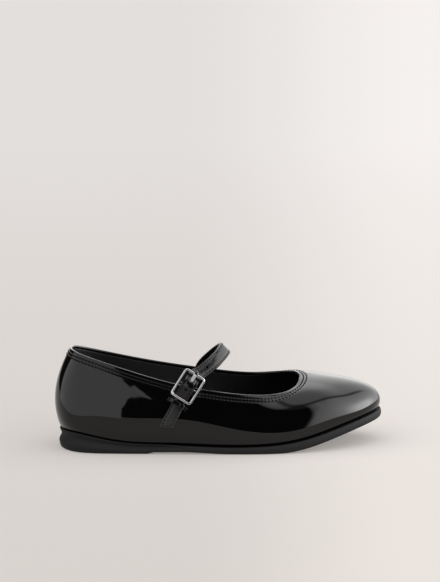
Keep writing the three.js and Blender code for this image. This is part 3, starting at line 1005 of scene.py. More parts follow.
@dataclass
class Insole:
    """Leather sock over its board, lying on the sole inside the upper."""

    last: Last
    bench: Workbench
    inset: float = 2.25
    thickness: float = 2.2
    edge: float = 0.6
    rounding: tuple[float, ...] = (0.4, 0.8, 1.2, 1.57)  # turns of the edge's rows, in radians
    shares: tuple[float, ...] = (0.12, 0.25, 0.4, 0.55, 0.7, 0.85, 1.0)  # of the way to the middle
    dish: float = 0.5  # how far the heel seat is pressed in
    dish_end: tuple[float, float] = (30, 80)  # x where the heel seat starts to level out, and is level
    dish_rim: float = 0.8  # share of the way in where it is at its full depth
    around: int = 260
    reach: float = 0.004  # within which corners are joined

    def build(self) -> None:
        """Builds and dresses the insole."""
        foot = self.last.frames[:, 0]
        out = self.last.outward(foot)
        edge, top = self.edge, self.thickness
        section = [(0, 0, share) for share in reversed(self.shares)] + [(0, 0, 0), (0, top - edge, 0)]
        section += [(edge * (1 - math.cos(a)), top - edge * (1 - math.sin(a)), 0) for a in self.rounding]
        rows = np.array([*section, *[(edge, top, share) for share in self.shares]])

        def ring(u: Points, row: Points) -> Points:
            """Places corners of the section on their own side of the insole.

            Args:
                u: Places round the insole.
                row: Corner of the section at each.

            Returns:
                Their places.
            """
            index = self.last.station(u)
            return foot[index] - out[index] * (self.inset + row[:, 0:1]) + UP * row[:, 1:2]

        def surface(flat: Points) -> Points:
            """Places the grid, with columns round the insole and rows round its section.

            Args:
                flat: Corners of the grid.

            Returns:
                Their places.
            """
            u = (flat[:, 0] % self.around) / self.around
            row = rows[flat[:, 1].astype(int)]
            near, far = ring(u, row), ring(1 - u, row)
            point = near + (far - near) / 2 * row[:, 2:3]
            seat = 1 - smoothstep(point[:, 0], *self.dish_end)
            deep = smoothstep(row[:, 2], 0, self.dish_rim) * (row[:, 1] > top / 2)
            point[:, 2] -= self.dish * seat * deep
            return point

        mesh = weld(bend(grid(self.around, len(rows) - 1), surface), self.reach)
        self.bench.piece("insole_sock", mesh, SOCK, Slot.SOCK, ["insole"])


# ------------------------------------------------------------------ strap and buckle
@dataclass
class Ribbon:
    """Path of a strip: points of its middle line and the direction of its width at each."""

    at: Points
    across: Points
    fineness: int = 900
    centres: Points = field(init=False)
    tangents: Points = field(init=False)
    sides: Points = field(init=False)
    faces: Points = field(init=False)
    along: Points = field(init=False)  # distance from the start at each centre
    length: float = field(init=False)

    def __post_init__(self) -> None:
        """Works out the path's table of centres, sides and faces."""
        place = np.linspace(0, 1, self.fineness)
        self.centres = catmull_rom(self.at, place)
        tangent = unit(np.gradient(self.centres, axis=0))
        side = catmull_rom(self.across, place)
        side = unit(side - tangent * (side * tangent).sum(axis=1, keepdims=True))
        self.sides, self.tangents = side, tangent
        self.faces = unit(np.cross(side, tangent))
        steps = np.linalg.norm(np.diff(self.centres, axis=0), axis=1)
        self.along = np.concatenate([[0], np.cumsum(steps)])
        self.length = float(self.along[-1])

    def __call__(self, flat: Points) -> Points:
        """Surface for a strip: along it, across it, and over its middle.

        Args:
            flat: Corners of the flat strip.

        Returns:
            Their places.
        """
        def pick(table: Points) -> Points:
            """Reads a table of vectors at the points' places along the strip."""
            return np.stack([np.interp(flat[:, 0], self.along, table[:, k]) for k in range(3)], axis=1)

        centre, side, face = pick(self.centres), unit(pick(self.sides)), unit(pick(self.faces))
        beyond = flat[:, 0:1] - np.clip(flat[:, 0:1], 0, self.length)
        return centre + side * flat[:, 1:2] + face * flat[:, 2:3] + pick(self.tangents) * beyond


@dataclass
class BuckleAxes:
    """The buckle's own axes: s up the strap, h away from the foot, b across the strap."""

    last: Last
    seat: tuple[float, float] = (73.6, 34.2)  # x and z of the lower bar on the quarter
    angle: float = 57  # slope of the strap there
    stack: float = 4.8  # leather between the quarter and the frame
    length: float = 19.2
    width: float = 14.8
    corner: float = 2.2
    bar: float = 1.4
    thickness: float = 1.7
    pin_radius: float = 0.65
    pin_depth: float = 2.1
    post: float = 6.35  # from the middle to each of the middle bar's posts
    face: Points = field(init=False)
    along: Points = field(init=False)
    across: Points = field(init=False)
    centre: Points = field(init=False)
    reach: float = field(init=False)  # from the middle to the end bars' middles

    def __post_init__(self) -> None:
        """Stands the axes on the outer quarter."""
        point, face = self.last.on_wall(*self.seat, -1)
        level = unit(np.cross(UP, face))
        steep = unit(np.cross(face, level))
        slope = math.radians(self.angle)
        self.face = face
        self.along = level * math.cos(slope) + steep * math.sin(slope)
        self.across = unit(np.cross(self.along, face))
        self.reach = (self.length - self.bar) / 2
        self.centre = point + face * self.stack + self.along * self.reach

    def at(self, s: float, h: float, b: float = 0) -> Points:
        """Gives a point in the shoemaker's frame."""
        return self.centre + self.along * s + self.face * h + self.across * b

    def frame(self) -> Matrix:
        """Gives the matrix that takes x across, y along and z outwards to the shoemaker's frame."""
        columns = np.stack([self.across, self.along, self.face, self.centre], axis=1)
        return Matrix([*columns.tolist(), [0, 0, 0, 1]])


@dataclass
class Strip:
    """Flat strip of leather or metal with shaped ends, holes and rounded edges, bent along a path."""

    path: Ribbon
    width: float
    thickness: float
    square: float = 0.45  # size of its faces
    edge: float = 0.3
    start_round: float = 0.0  # length over which each end is rounded
    end_round: float = 0.0
    skew: float = 0.0  # how much further the far end runs on one edge, for each mm across
    skew_start: float = 0.6  # share of the length where the skew begins
    groove: float = 0.0  # depth of the stitched groove along each edge
    groove_inset: float = 1.2
    groove_width: float = 0.4
    least: float = 0.06  # square of the share of its width that a rounded end keeps
    puff: float = 0.0  # how far the middle stands up
    front: int = 1  # 1 when the side that shows faces out of the path, -1 when it faces in

    def flat(self, holes: Sequence[tuple[float, float, float]] = ()) -> bmesh.types.BMesh:
        """Makes the strip, flat.

        Args:
            holes: For each hole its place along the strip, half its length and half its width.

        Returns:
            The flat mesh, along X.
        """
        length = self.path.length
        columns = round(length / self.square)
        rows = 2 * round(self.width / self.square / 2)
        mesh = grid(columns, rows)
        for vert in mesh.verts:
            x = vert.co.x / columns * length
            y = (vert.co.y / rows - 0.5) * self.width
            vert.co = Vector((x, y * self.taper(x), 0))
        for place, half_length, half_width in holes:
            punch(mesh, (place, 0), (half_length, half_width))
        for vert in mesh.verts:
            slide = self.skew * smoothstep(vert.co.x, length * self.skew_start, length)
            vert.co.x += slide * vert.co.y
        thicken(mesh, self.thickness, self.edge)
        return mesh

    def taper(self, x: float) -> float:
        """Gives the share of its width that the strip has near a rounded end.

        Args:
            x: Distance along the strip.

        Returns:
            The share.
        """
        share = 1.0
        for reach, gone in ((self.start_round, x), (self.end_round, self.path.length - x)):
            if reach and gone < reach:
                share = min(share, math.sqrt(max(1 - ((reach - gone) / reach) ** 2, self.least)))
        return share

    def surface(self, flat: Points) -> Points:
        """Bends the strip along its path, with its stitched grooves and its crown.

        Args:
            flat: Corners of the flat strip.

        Returns:
            Their places.
        """
        shaped = flat.copy()
        off_middle = np.abs(flat[:, 1])
        inset = self.width / 2 - self.groove_inset
        dip = self.groove * np.exp(-(((off_middle - inset) / self.groove_width) ** 2))
        rise = self.puff * (1 - np.clip(off_middle / inset, 0, 1) ** 2)
        shows = flat[:, 2] * self.front > self.thickness * FACE_SHARE
        shaped[:, 2] += np.where(shows, (rise - dip) * self.front, 0)
        return self.path(shaped)

    def build(self, holes: Sequence[tuple[float, float, float]] = ()) -> bmesh.types.BMesh:
        """Makes the strip, bent along its path.

        Args:
            holes: For each hole its place along the strip, half its length and half its width.

        Returns:
            The mesh.
        """
        mesh = bend(self.flat(holes), self.surface)
        bmesh.ops.recalc_face_normals(mesh, faces=mesh.faces)
        return mesh


@dataclass
class Fastening:
    """The strap over the instep, the tab and keeper on the outer quarter, and the buckle."""

    last: Last
    bench: Workbench
    axes: BuckleAxes
    gap: float = 0.3
    wall: float = 1.8
    strap_width: float = 8.5
    strap_thickness: float = 1.6
    strap_tip: float = 3.6  # length over which the strap's tip is rounded
    # Strap through the buckle: s and h
    strap_buckled: tuple = (
        (-12.8, -2.2), (-8.8, -2.1), (-4.4, -0.6), (0, 1.15), (2.8, 1.1), (5.8, -0.7), (8.8, -2.9))
    # Strap over the instep: x, y and z, then the direction of its width
    strap_arch: tuple = (
        (86.8, -23.8, 49.8, 0.84, -0.3, -0.5), (93.6, -18.9, 53.8, 0.8, -0.36, -0.55),
        (99.8, -10.0, 57.2, 0.76, -0.2, -0.62), (104.6, 0, 60.6, 0.69, 0.02, -0.72),
        (103.0, 8.2, 58.2, 0.72, 0.1, -0.68), (98.0, 15.0, 52.4, 0.78, 0.08, -0.6),
        (92.9, 19.4, 46.0, 0.82, -0.05, -0.56))
    strap_inside: tuple = ((90.6, 41), (88.6, 36.6), (86.6, 31.5))  # x and z inside the inner quarter
    strap_lie: tuple[float, float, float] = (0.9, 0, -0.42)  # direction of its width there
    strap_rows: tuple[float, float] = (4.0, 2)  # from the tip and from the far end to the stitches
    tab_width: float = 7.8
    tab_thickness: float = 1.1
    tab_fold: tuple[float, ...] = (100, 55, 0, -55, -100)  # turns round the middle bar, in degrees
    tab_flap: tuple = ((-4.4, -0.45), (-2.4, 0.45))  # s, and h over the middle bar, of the hidden end
    tab_buckled: tuple = ((-4.2, -3.8), (-8.6, -3.95))  # s and h of the end that shows
    tab_outside: tuple = ((70.3, 27.6), (67.3, 22.6), (64.6, 17.6))  # x and z on the outer quarter
    tab_gap: float = 0.48  # under the tab
    tab_skew: float = -0.42
    tab_slot: tuple[float, float] = (2.9, 1.4)  # half the length and width of its slot
    tab_start: float = 9.5  # from the fold to the stitches
    tab_ends: tuple[float, float] = (1.4, 1.1)  # from the lower end to the side and cross stitches
    prong_width: float = 2.1
    prong_thickness: float = 1.0
    prong_gap: float = 0.42  # round the middle bar
    prong_curl: tuple[float, ...] = (-60, -110, -160, 150, 110)  # turns round the bar, in degrees
    prong_tongue: tuple = ((3, -0.45), (5.9, 0.6), (8.7, 1.65), (10.6, 1.4))  # s and h
    prong_rise: float = 0.6  # s where it leaves the middle bar
    keeper_width: float = 2.6
    keeper_thickness: float = 0.9
    keeper_place: float = -12.3
    # Keeper from foot to foot: b and h
    keeper_profile: tuple = (
        (-6.6, -3.85), (-5.9, -3.8), (-5.3, -2.5), (-4.4, -0.8), (0, -0.6), (4.4, -0.8),
        (5.3, -2.5), (5.9, -3.8), (6.6, -3.85))
    hole_places: tuple[float, ...] = (17.0, -2.0)  # up the strap from the buckle's middle
    hole_radius: float = 0.95
    slot_place: float = 4.3  # hole that the prong has drawn out into a slot
    slot: tuple[float, float] = (2.1, 1.4)  # half its length and width
    climb: float = 45  # distance from the strap's tip within which it climbs
    frame_arc: int = 10  # columns at each corner of the frame
    frame_rows: int = 24
    frame_flats: tuple[float, float] = (0.55, 0.7)  # squareness of its section each way; 1 is round
    post_swell: float = 1.05  # of a post over the pin
    rod_sides: int = 24
    thread: Thread = Thread(pitch=2.3, length=1.4, width=0.8, height=0.6)
    thread_proud: float = 0.08
    end_thread_sink: float = 0.05

    def buckled(self, stops: Sequence[tuple[float, float]]) -> Points:
        """Gives points above the buckle's middle line, one for each pair of s and h."""
        return np.array([self.axes.at(s, h) for s, h in stops])

    def laid(
        self, stops: Sequence[tuple[float, float]], side: int, height: float, width: Points,
    ) -> tuple[Points, Points]:
        """Gives points over the wall and the strip's width direction at each.

        Args:
            stops: x and z of each point.
            side: -1 for the outer side, 1 for the inner side.
            height: Height over the outer face, less than 0 inside it.
            width: Direction of the strip's width before it is laid flat on the wall.

        Returns:
            The points and the directions.
        """
        points, ways = [], []
        for x, z in stops:
            point, normal = self.last.on_wall(x, z, side)
            points.append(point + normal * height)
            ways.append(unit(width - normal * float(width @ normal)))
        return np.array(points), np.array(ways)

    def strap_path(self) -> Ribbon:
        """Gives the strap's path: through the buckle, over the instep and inside the inner quarter.

        Returns:
            The path.
        """
        near = self.buckled(self.strap_buckled)
        arch, lean = np.hsplit(np.array(self.strap_arch), 2)
        depth = self.wall + self.strap_thickness / 2 + 2 * self.gap
        end, turned = self.laid(self.strap_inside, 1, -depth, np.array(self.strap_lie))
        sides = np.vstack([np.tile(self.axes.across, (len(near), 1)), lean, turned])
        return Ribbon(np.vstack([near, arch, end]), sides)

    def round_bar(self, turns: Sequence[float], gap: float, thickness: float) -> list[tuple[float, float]]:
        """Gives the stops of a strip that turns round the middle bar.

        Args:
            turns: Its turns in degrees, from up the strap towards the face.
            gap: Gap between the bar and the strip.
            thickness: Thickness of the strip.

        Returns:
            s and h of each stop.
        """
        radius = self.axes.pin_radius + gap + thickness / 2
        angles = [math.radians(turn) for turn in turns]
        return [(radius * math.cos(a), radius * math.sin(a) - self.axes.pin_depth) for a in angles]

    def tab_path(self) -> Ribbon:
        """Gives the tab's path: round the middle bar and down the outer quarter.

        Returns:
            The path.
        """
        flap = [(s, h - self.axes.pin_depth) for s, h in self.tab_flap]
        fold = self.round_bar(self.tab_fold, self.gap, self.tab_thickness)
        near = self.buckled([*flap, *fold, *self.tab_buckled])
        height = self.tab_thickness / 2 + self.tab_gap
        end, turned = self.laid(self.tab_outside, -1, height, self.axes.across)
        sides = np.vstack([np.tile(self.axes.across, (len(near), 1)), turned])
        return Ribbon(np.vstack([near, end]), sides)

    def prong_path(self) -> Ribbon:
        """Gives the prong's path: curled round the middle bar, then up and over the upper bar.

        Returns:
            The path.
        """
        curl = self.round_bar(self.prong_curl, self.prong_gap, self.prong_thickness)
        top = self.axes.pin_radius + self.prong_gap + self.prong_thickness / 2 - self.axes.pin_depth
        stops = self.buckled([*curl, (self.prong_rise, top), *self.prong_tongue])
        return Ribbon(stops, np.tile(self.axes.across, (len(stops), 1)))

    def keeper_path(self) -> Ribbon:
        """Gives the keeper's path: from one foot on the quarter over the strap to the other."""
        stops = np.array([self.axes.at(self.keeper_place, h, b) for b, h in self.keeper_profile])
        return Ribbon(stops, np.tile(self.axes.along, (len(stops), 1)))

    def along_path(self, path: Ribbon, s: float) -> float:
        """Finds where the strap passes a place up the buckle, on its way up.

        Args:
            path: The strap's path.
            s: Place up the buckle.

        Returns:
            The distance along the path.
        """
        climb = (path.centres - self.axes.centre) @ self.axes.along
        near = path.along < self.climb
        return float(path.along[near][np.argmin(np.abs(climb[near] - s))])

    def edge_stitches(self, name: str, strip: Strip, start: float, end: float) -> None:
        """Sews a row in the groove along each edge of a strip.

        Args:
            name: Name of the piece.
            strip: The strip.
            start: Where the rows start along it.
            end: Where they end.
        """
        stitches = bmesh.new()
        height = (strip.thickness / 2 - strip.groove + self.thread_proud) * strip.front
        across = strip.width / 2 - strip.groove_inset
        for side in (-across, across):
            slide = strip.skew * side
            self.thread.sew(stitches, (start, side, height), (end + slide, side, height))
        bend(stitches, strip.path)
        self.bench.piece(name, weld(stitches, THREAD_REACH), THREAD, Slot.STRAP)

    def build_strap(self) -> None:
        """Builds the strap with its holes and edge stitches."""
        path = self.strap_path()
        strip = Strip(
            path, self.strap_width, self.strap_thickness, start_round=self.strap_tip, groove=0.14,
            puff=0.12, edge=0.4)
        slot = (self.along_path(path, self.slot_place), *self.slot)
        radius = self.hole_radius
        holes = [(self.along_path(path, place), radius, radius) for place in self.hole_places]
        mesh = strip.build([slot, *holes])
        self.bench.piece("strap", mesh, STRAP_PATENT, Slot.STRAP, ["strap"])
        start, end = self.strap_rows
        self.edge_stitches("strap_stitches", strip, start, path.length - end)

    def build_tab(self) -> None:
        """Builds the tab with its slot for the prong, its stitches and its keeper."""
        path = self.tab_path()
        strip = Strip(
            path, self.tab_width, self.tab_thickness, groove=0.12, skew=self.tab_skew, edge=0.28,
            puff=0.08, front=-1)
        fold = float(path.along[np.argmax((path.centres - self.axes.centre) @ self.axes.along)])
        mesh = strip.build([(fold, *self.tab_slot)])
        self.bench.piece("buckle_tab", mesh, GRAINED_PATENT, Slot.STRAP, ["buckle_tab"])
        start, (side_end, cross_end) = fold + self.tab_start, self.tab_ends
        self.edge_stitches("tab_stitches", strip, start, path.length - side_end)
        ends = bmesh.new()
        height = self.end_thread_sink - strip.thickness / 2
        half = strip.width / 2 - strip.groove_inset
        for place, skew in ((path.length - cross_end, strip.skew), (start, 0)):
            slide = skew * half
            self.thread.sew(ends, (place - slide, -half, height), (place + slide, half, height))
        bend(ends, path)
        self.bench.piece("tab_end_stitches", weld(ends, THREAD_REACH), THREAD, Slot.STRAP)
        keeper = Strip(self.keeper_path(), self.keeper_width, self.keeper_thickness, square=0.32)
        self.bench.piece("keeper_loop", keeper.build(), STRAP_PATENT, Slot.STRAP, ["keeper_loop"])

    def build_frame(self) -> None:
        """Builds the frame of the buckle."""
        axes, arc, rows = self.axes, self.frame_arc, self.frame_rows
        radius = axes.corner - axes.bar / 2
        half = np.array([(axes.width - axes.bar) / 2 - radius, axes.reach - radius])
        corners = [(1, 1, 0), (-1, 1, 90), (-1, -1, 180), (1, -1, 270)]  # sides, start of the arc
        angles = np.radians([c[2] + 90 * k / (arc - 1) for c in corners for k in range(arc)])
        middles = np.array([half * (c[0], c[1]) for c in corners for _ in range(arc)])

        def squared(wave: Points, power: float) -> Points:
            """Flattens a wave's crests, more for a lower power."""
            return np.sign(wave) * np.abs(wave) ** power

        def surface(flat: Points) -> Points:
            """Places the grid, with columns round the frame and rows round its section.

            Args:
                flat: Corners of the grid.

            Returns:
                Their places.
            """
            index = flat[:, 0].astype(int) % len(angles)
            turn = 2 * np.pi * flat[:, 1] / rows
            wide = squared(np.cos(turn), self.frame_flats[0]) * axes.bar / 2
            high = squared(np.sin(turn), self.frame_flats[1]) * axes.thickness / 2
            way = np.stack([np.cos(angles[index]), np.sin(angles[index])], axis=1)
            line = middles[index] + way * (radius + wide)[:, None]
            return np.column_stack([line, high])

        mesh = weld(bend(grid(len(angles), rows), surface))
        self.fasten("buckle_frame", mesh, NICKEL, ["buckle_frame"])

    def build_pin(self) -> None:
        """Builds the buckle's middle bar, a pin on two posts."""
        axes = self.axes
        post = (axes.pin_depth + axes.pin_radius) / 2
        across = Matrix.Rotation(math.pi / 2, 4, "Y")
        rods = [(Matrix.Translation((0, 0, -axes.pin_depth)) @ across, axes.pin_radius, 2 * axes.post)]
        for place in (-axes.post, axes.post):
            matrix = Matrix.Translation((place, 0, -post))
            rods.append((matrix, axes.pin_radius * self.post_swell, 2 * post))
        mesh = bmesh.new()
        for matrix, thick, length in rods:
            bmesh.ops.create_cone(
                mesh, cap_ends=True, segments=self.rod_sides, radius1=thick, radius2=thick,
                depth=length, matrix=matrix)
        # The pin's dark colour is painted shade for the shadow under the strap and tab
        self.fasten("buckle_pin", mesh, PIN_PAINTED_SHADE)

    def fasten(
        self, name: str, mesh: bmesh.types.BMesh, finish: Finish, replaces: Sequence[str] = (),
    ) -> None:
        """Takes a mesh from the buckle's own axes to its place and makes it a piece.

        Args:
            name: Name of the piece.
            mesh: Its mesh.
            finish: Its material.
            replaces: CAD nodes that it stands for.
        """
        bmesh.ops.transform(mesh, matrix=self.axes.frame(), verts=mesh.verts)
        bmesh.ops.recalc_face_normals(mesh, faces=mesh.faces)
        self.bench.piece(name, mesh, finish, Slot.BUCKLE, replaces)

    def build_prong(self) -> None:
        """Builds the prong."""
        strip = Strip(
            self.prong_path(), self.prong_width, self.prong_thickness, square=0.3, edge=0.32,
            end_round=1.0)
        self.bench.piece("buckle_prong", strip.build(), NICKEL, Slot.BUCKLE, ["buckle_prong"])

    def build(self) -> None:
        """Builds the strap, tab, keeper and buckle."""
        self.build_strap()
        self.build_tab()
        self.build_frame()
        self.build_pin()
        self.build_prong()


# ------------------------------------------------------------------ studio
@dataclass
class Studio:
    """Pale floor under a soft dome, glowing with its own colour as painted light that lifts its shadows; a
    lit panel at the left, a softbox at the right, dark sides.

    Directions are azimuth from the camera's side, positive to the left, and elevation, in degrees.
    Brightness is given at each stop of an angle, and changes evenly between stops.
    """

    bench: Workbench
    floor_half: float = 9  # half the floor's width, in metres
    painted_light_depth: tuple[float, float] = (-0.3, 1.8)  # metres behind the shoe where its painted light changes, brighter far off
    # The floor's colours hold painted light: brighter far off than near the shoe
    near_colour_with_painted_light: str = "#d9d3ce"
    far_colour_with_painted_light: str = "#e3dfdd"
    floor_roughness: float = 0.9
    shadow_lifting_glow: float = 0.35  # painted light: the floor glows with its own colour, which lifts the shadows on it
    painted_light_fan_foot: tuple[float, float] = (-51.4, -1459.2)  # where the fan of painted light over the floor starts
    painted_light_fan_turn: float = 84  # direction of the fan's middle, from +X
    painted_light_fan_span: tuple[float, float] = (1.2, -5.2)  # turns from the middle where it starts and is full
    # Gain of the fan of painted light towards the softbox
    painted_light_gain: tuple[float, float] = (1.0, 1.19)
    panel_light: float = 1.3
    panel_plan: tuple = ((-900, -900), (-1200, -200), (-1150, 590))  # x and y of the panel's far corners
    panel_front: float = -900  # y of its right edge
    panel_edge: tuple = (  # height and x of its right edge, cut back low down
        (0, -113), (150, -98), (230, -74), (275, -42), (290, -22), (330, -16), (1400, -16))
    sun_strength: float = 2.3
    sun_angle: float = 160
    sun_lean: float = 30  # towards the camera
    backdrop: str = "#e4dfdc"
    light_colour: tuple[float, float, float, float] = (1, 0.99, 0.985, 1)
    dark_level: float = 0.03
    overhead_light: float = 1.5
    overhead: tuple[float, float] = (50, 74)  # elevations where the light overhead starts and is full
    sides: tuple = (
        (-180, 2.7), (-160, 2.5), (-150, 2.1), (-120, 2.3), (-60, 2.2), (-37, 2.3), (-34, 2.0),
        (-26, 1.1), (-24.5, 0), (11, 0), (12, 0.8), (118, 0.8), (120, 0), (158, 0), (166, 1.4),
        (180, 2.7))
    sides_low: tuple[float, float] = (-2, 16)  # elevations between which the sides brighten
    sides_least: float = 0.4  # share of their light that they have low down
    softbox: tuple[float, float] = (-80, 14)
    softbox_falloff: tuple = (
        (0, 10), (12, 9.6), (18, 7.6), (22, 6.3), (28, 4.5), (37, 3.3), (50, 2.2), (60, 0))
    softbox_cut: tuple = ((-180, 1), (-27, 1), (-24.5, 0), (180, 0))  # azimuths that it is open to
    seam: tuple[float, float, float] = (-0.842, 0.404, 0.359)  # normal of the gap between two ceilings
    seam_offset: float = 0.03  # sine of the gap's angle off the plane
    seam_edge: tuple[float, float] = (0.012, 0.075)  # sines of the angles from the gap to full light
    seam_level: float = 0.32  # share of the light left in it
    seam_end: tuple[float, float] = (0.3, 0.55)  # y of the direction where the gap ends
    azimuth: float = -6.0
    elevation: float = 12.0
    distance: float = 1500.0
    focal: float = 146.9
    film: float = 36
    clip: tuple[float, float] = (0.05, 60)
    aim: tuple[float, float, float] = (102, 0, 30)
    aim_above: float = 66.14  # how far over the shoe's middle the camera looks, in its own upright
    aim_left: float = 0.57

    def build(self) -> None:
        """Builds the floor, the lights and the camera."""
        self.make_floor()
        self.make_panel()
        self.make_sun()
        self.make_world()
        self.make_camera()
        bpy.context.scene.view_settings.view_transform = "Standard"

    def stand(self, name: str, data: Any) -> bpy.types.Object:
        """Adds a piece of studio equipment.

        Args:
            name: Its name.
            data: Its mesh or light.

        Returns:
            The object.
        """
        made = bpy.data.objects.new(name, data)
        bpy.context.scene.collection.objects.link(made)
        made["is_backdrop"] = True
        return made

    def card(
        self, name: str, mesh: bmesh.types.BMesh, material: bpy.types.Material,
    ) -> bpy.types.Object:
        """Stands a flat piece of studio equipment.

        Args:
            name: Its name.
            mesh: Its mesh, which is used up.
            material: Its material.

        Returns:
            The object.
        """
        data = bpy.data.meshes.new(name)
        mesh.to_mesh(data)
        mesh.free()
        data.materials.append(material)
        return self.stand(name, data)

    def make_floor(self) -> None:
        """Lays the floor."""
        mesh = bmesh.new()
        bmesh.ops.create_grid(mesh, x_segments=1, y_segments=1, size=self.floor_half)
        self.card("studio_floor", mesh, self.paint())

    def paint(self) -> bpy.types.Material:
        """Makes the floor's matt paint, with painted light: a little brighter far off and in a fan towards
        the softbox.

        Returns:
            The material.
        """
        made = bpy.data.materials.new("board_with_painted_light")
        made.use_nodes = True
        tree = made.node_tree
        tree.nodes.clear()
        place = add_node(tree, "ShaderNodeTexCoord").outputs["Object"]
        depth = add_node(tree, "ShaderNodeSeparateXYZ", None, {0: place}).outputs[1]
        share = add_node(tree, "ShaderNodeMapRange", None, crossing(depth, self.painted_light_depth))
        colour = add_node(
            tree, "ShaderNodeMix", {"data_type": "RGBA"},
            {0: share.outputs[0], 6: linear(self.near_colour_with_painted_light), 7: linear(self.far_colour_with_painted_light)})
        # Painted light: the floor's colour brightens in a fan towards the softbox
        foot = self.bench.to_model((*self.painted_light_fan_foot, 0))
        turn = math.radians(self.painted_light_fan_turn)
        fan = add_node(
            tree, "ShaderNodeMapping", {"vector_type": "TEXTURE"},
            {"Vector": place, "Location": (foot.x, foot.y, 0), "Rotation": (0, 0, turn)})
        spread = add_node(tree, "ShaderNodeTexGradient", {"gradient_type": "RADIAL"}, {0: fan.outputs[0]})
        start, full = (0.5 + turned / 360 for turned in self.painted_light_fan_span)
        gain = add_node(
            tree, "ShaderNodeMapRange", SMOOTH, crossing(spread.outputs[1], (start, full), self.painted_light_gain))
        lit = add_node(
            tree, "ShaderNodeVectorMath", {"operation": "SCALE"},
            {0: colour.outputs[2], "Scale": gain.outputs[0]})
        # The floor glows with its own colour, painted light that lifts the shadows on it
        shader = add_node(
            tree, "ShaderNodeBsdfPrincipled", None,
            {
                "Base Color": lit.outputs[0], "Roughness": self.floor_roughness,
                "Specular IOR Level": 0.0, "Emission Color": lit.outputs[0],
                "Emission Strength": self.shadow_lifting_glow,
            })
        add_node(tree, "ShaderNodeOutputMaterial", None, {"Surface": shader.outputs[0]})
        return made

    def make_panel(self) -> None:
        """Stands the lit panel at the left, its right edge cut back low down."""
        mesh = grid(len(self.panel_plan), len(self.panel_edge) - 1)
        for vert in mesh.verts:
            height, edge = self.panel_edge[round(vert.co.y)]
            plan = ((edge, self.panel_front), *self.panel_plan)
            vert.co = self.bench.to_model((*plan[round(vert.co.x)], height))
        made = bpy.data.materials.new("lit_panel")
        made.use_nodes = True
        tree = made.node_tree
        tree.nodes.clear()
        lamp = add_node(
            tree, "ShaderNodeEmission", None, {"Color": (1, 1, 1, 1), "Strength": self.panel_light})
        add_node(tree, "ShaderNodeOutputMaterial", None, {"Surface": lamp.outputs[0]})
        panel = self.card("panel_left", mesh, made)
        panel.visible_camera = False
        panel.visible_diffuse = False
        panel.visible_shadow = False

    def make_sun(self) -> None:
        """Hangs the soft dome that lights the floor and everything matt."""
        lamp = bpy.data.lights.new("dome", "SUN")
        lamp.energy = self.sun_strength
        lamp.angle = math.radians(self.sun_angle)
        dome = self.stand("dome", lamp)
        dome.rotation_euler = (math.radians(self.sun_lean), 0, 0)
        dome.visible_glossy = False

    def make_world(self) -> None:
        """Gives the studio that glossy leather reflects, by direction."""
        world = bpy.data.worlds.new("studio")
        bpy.context.scene.world = world
        world.use_nodes = True
        world.cycles_visibility.diffuse = False
        tree = world.node_tree
        tree.nodes.clear()
        way = add_node(tree, "ShaderNodeTexCoord").outputs["Generated"]
        parts = add_node(tree, "ShaderNodeSeparateXYZ", None, {0: way})
        turned = add_node(tree, "ShaderNodeVectorMath", {"operation": "SCALE"}, {0: way, "Scale": -1.0})
        back = add_node(tree, "ShaderNodeSeparateXYZ", None, {0: turned.outputs[0]})
        around = add_node(
            tree, "ShaderNodeMath", {"operation": "ARCTAN2"}, {0: back.outputs[0], 1: back.outputs[1]})
        azimuth = add_node(
            tree, "ShaderNodeMath", {"operation": "DEGREES"}, {0: around.outputs[0]}).outputs[0]
        lift = add_node(tree, "ShaderNodeMath", {"operation": "ARCSINE"}, {0: parts.outputs[2]})
        height = add_node(
            tree, "ShaderNodeMath", {"operation": "DEGREES"}, {0: lift.outputs[0]}).outputs[0]
        low = add_node(
            tree, "ShaderNodeMapRange", SMOOTH,
            crossing(height, self.sides_low, (self.sides_least, 1.0)))
        side = add_node(
            tree, "ShaderNodeMath", {"operation": "MULTIPLY"},
            {0: self.ramp(tree, azimuth, self.sides), 1: low.outputs[0]})
        high = add_node(tree, "ShaderNodeMapRange", SMOOTH, crossing(height, self.overhead))
        base = add_node(
            tree, "ShaderNodeMix", {"data_type": "FLOAT"},
            {0: high.outputs[0], 2: side.outputs[0], 3: self.overhead_light})
        off_box = self.angle_from(tree, way, self.softbox)
        box = add_node(
            tree, "ShaderNodeMath", {"operation": "MULTIPLY"},
            {
                0: self.ramp(tree, off_box, self.softbox_falloff),
                1: self.ramp(tree, azimuth, self.softbox_cut),
            })
        lights = add_node(
            tree, "ShaderNodeMath", {"operation": "MAXIMUM"}, {0: base.outputs[0], 1: box.outputs[0]})
        gapped = add_node(
            tree, "ShaderNodeMath", {"operation": "MULTIPLY"},
            {0: lights.outputs[0], 1: self.gap(tree, way, parts.outputs[1])})
        strength = add_node(
            tree, "ShaderNodeMath", {"operation": "MAXIMUM"}, {0: gapped.outputs[0], 1: self.dark_level})
        sky = add_node(
            tree, "ShaderNodeBackground", None,
            {"Color": self.light_colour, "Strength": strength.outputs[0]})
        seen = add_node(
            tree, "ShaderNodeBackground", None, {"Color": linear(self.backdrop), "Strength": 1.0})
        path = add_node(tree, "ShaderNodeLightPath")
        mix = add_node(
            tree, "ShaderNodeMixShader", None,
            {0: path.outputs["Is Camera Ray"], 1: sky.outputs[0], 2: seen.outputs[0]})
        add_node(tree, "ShaderNodeOutputWorld", None, {"Surface": mix.outputs[0]})

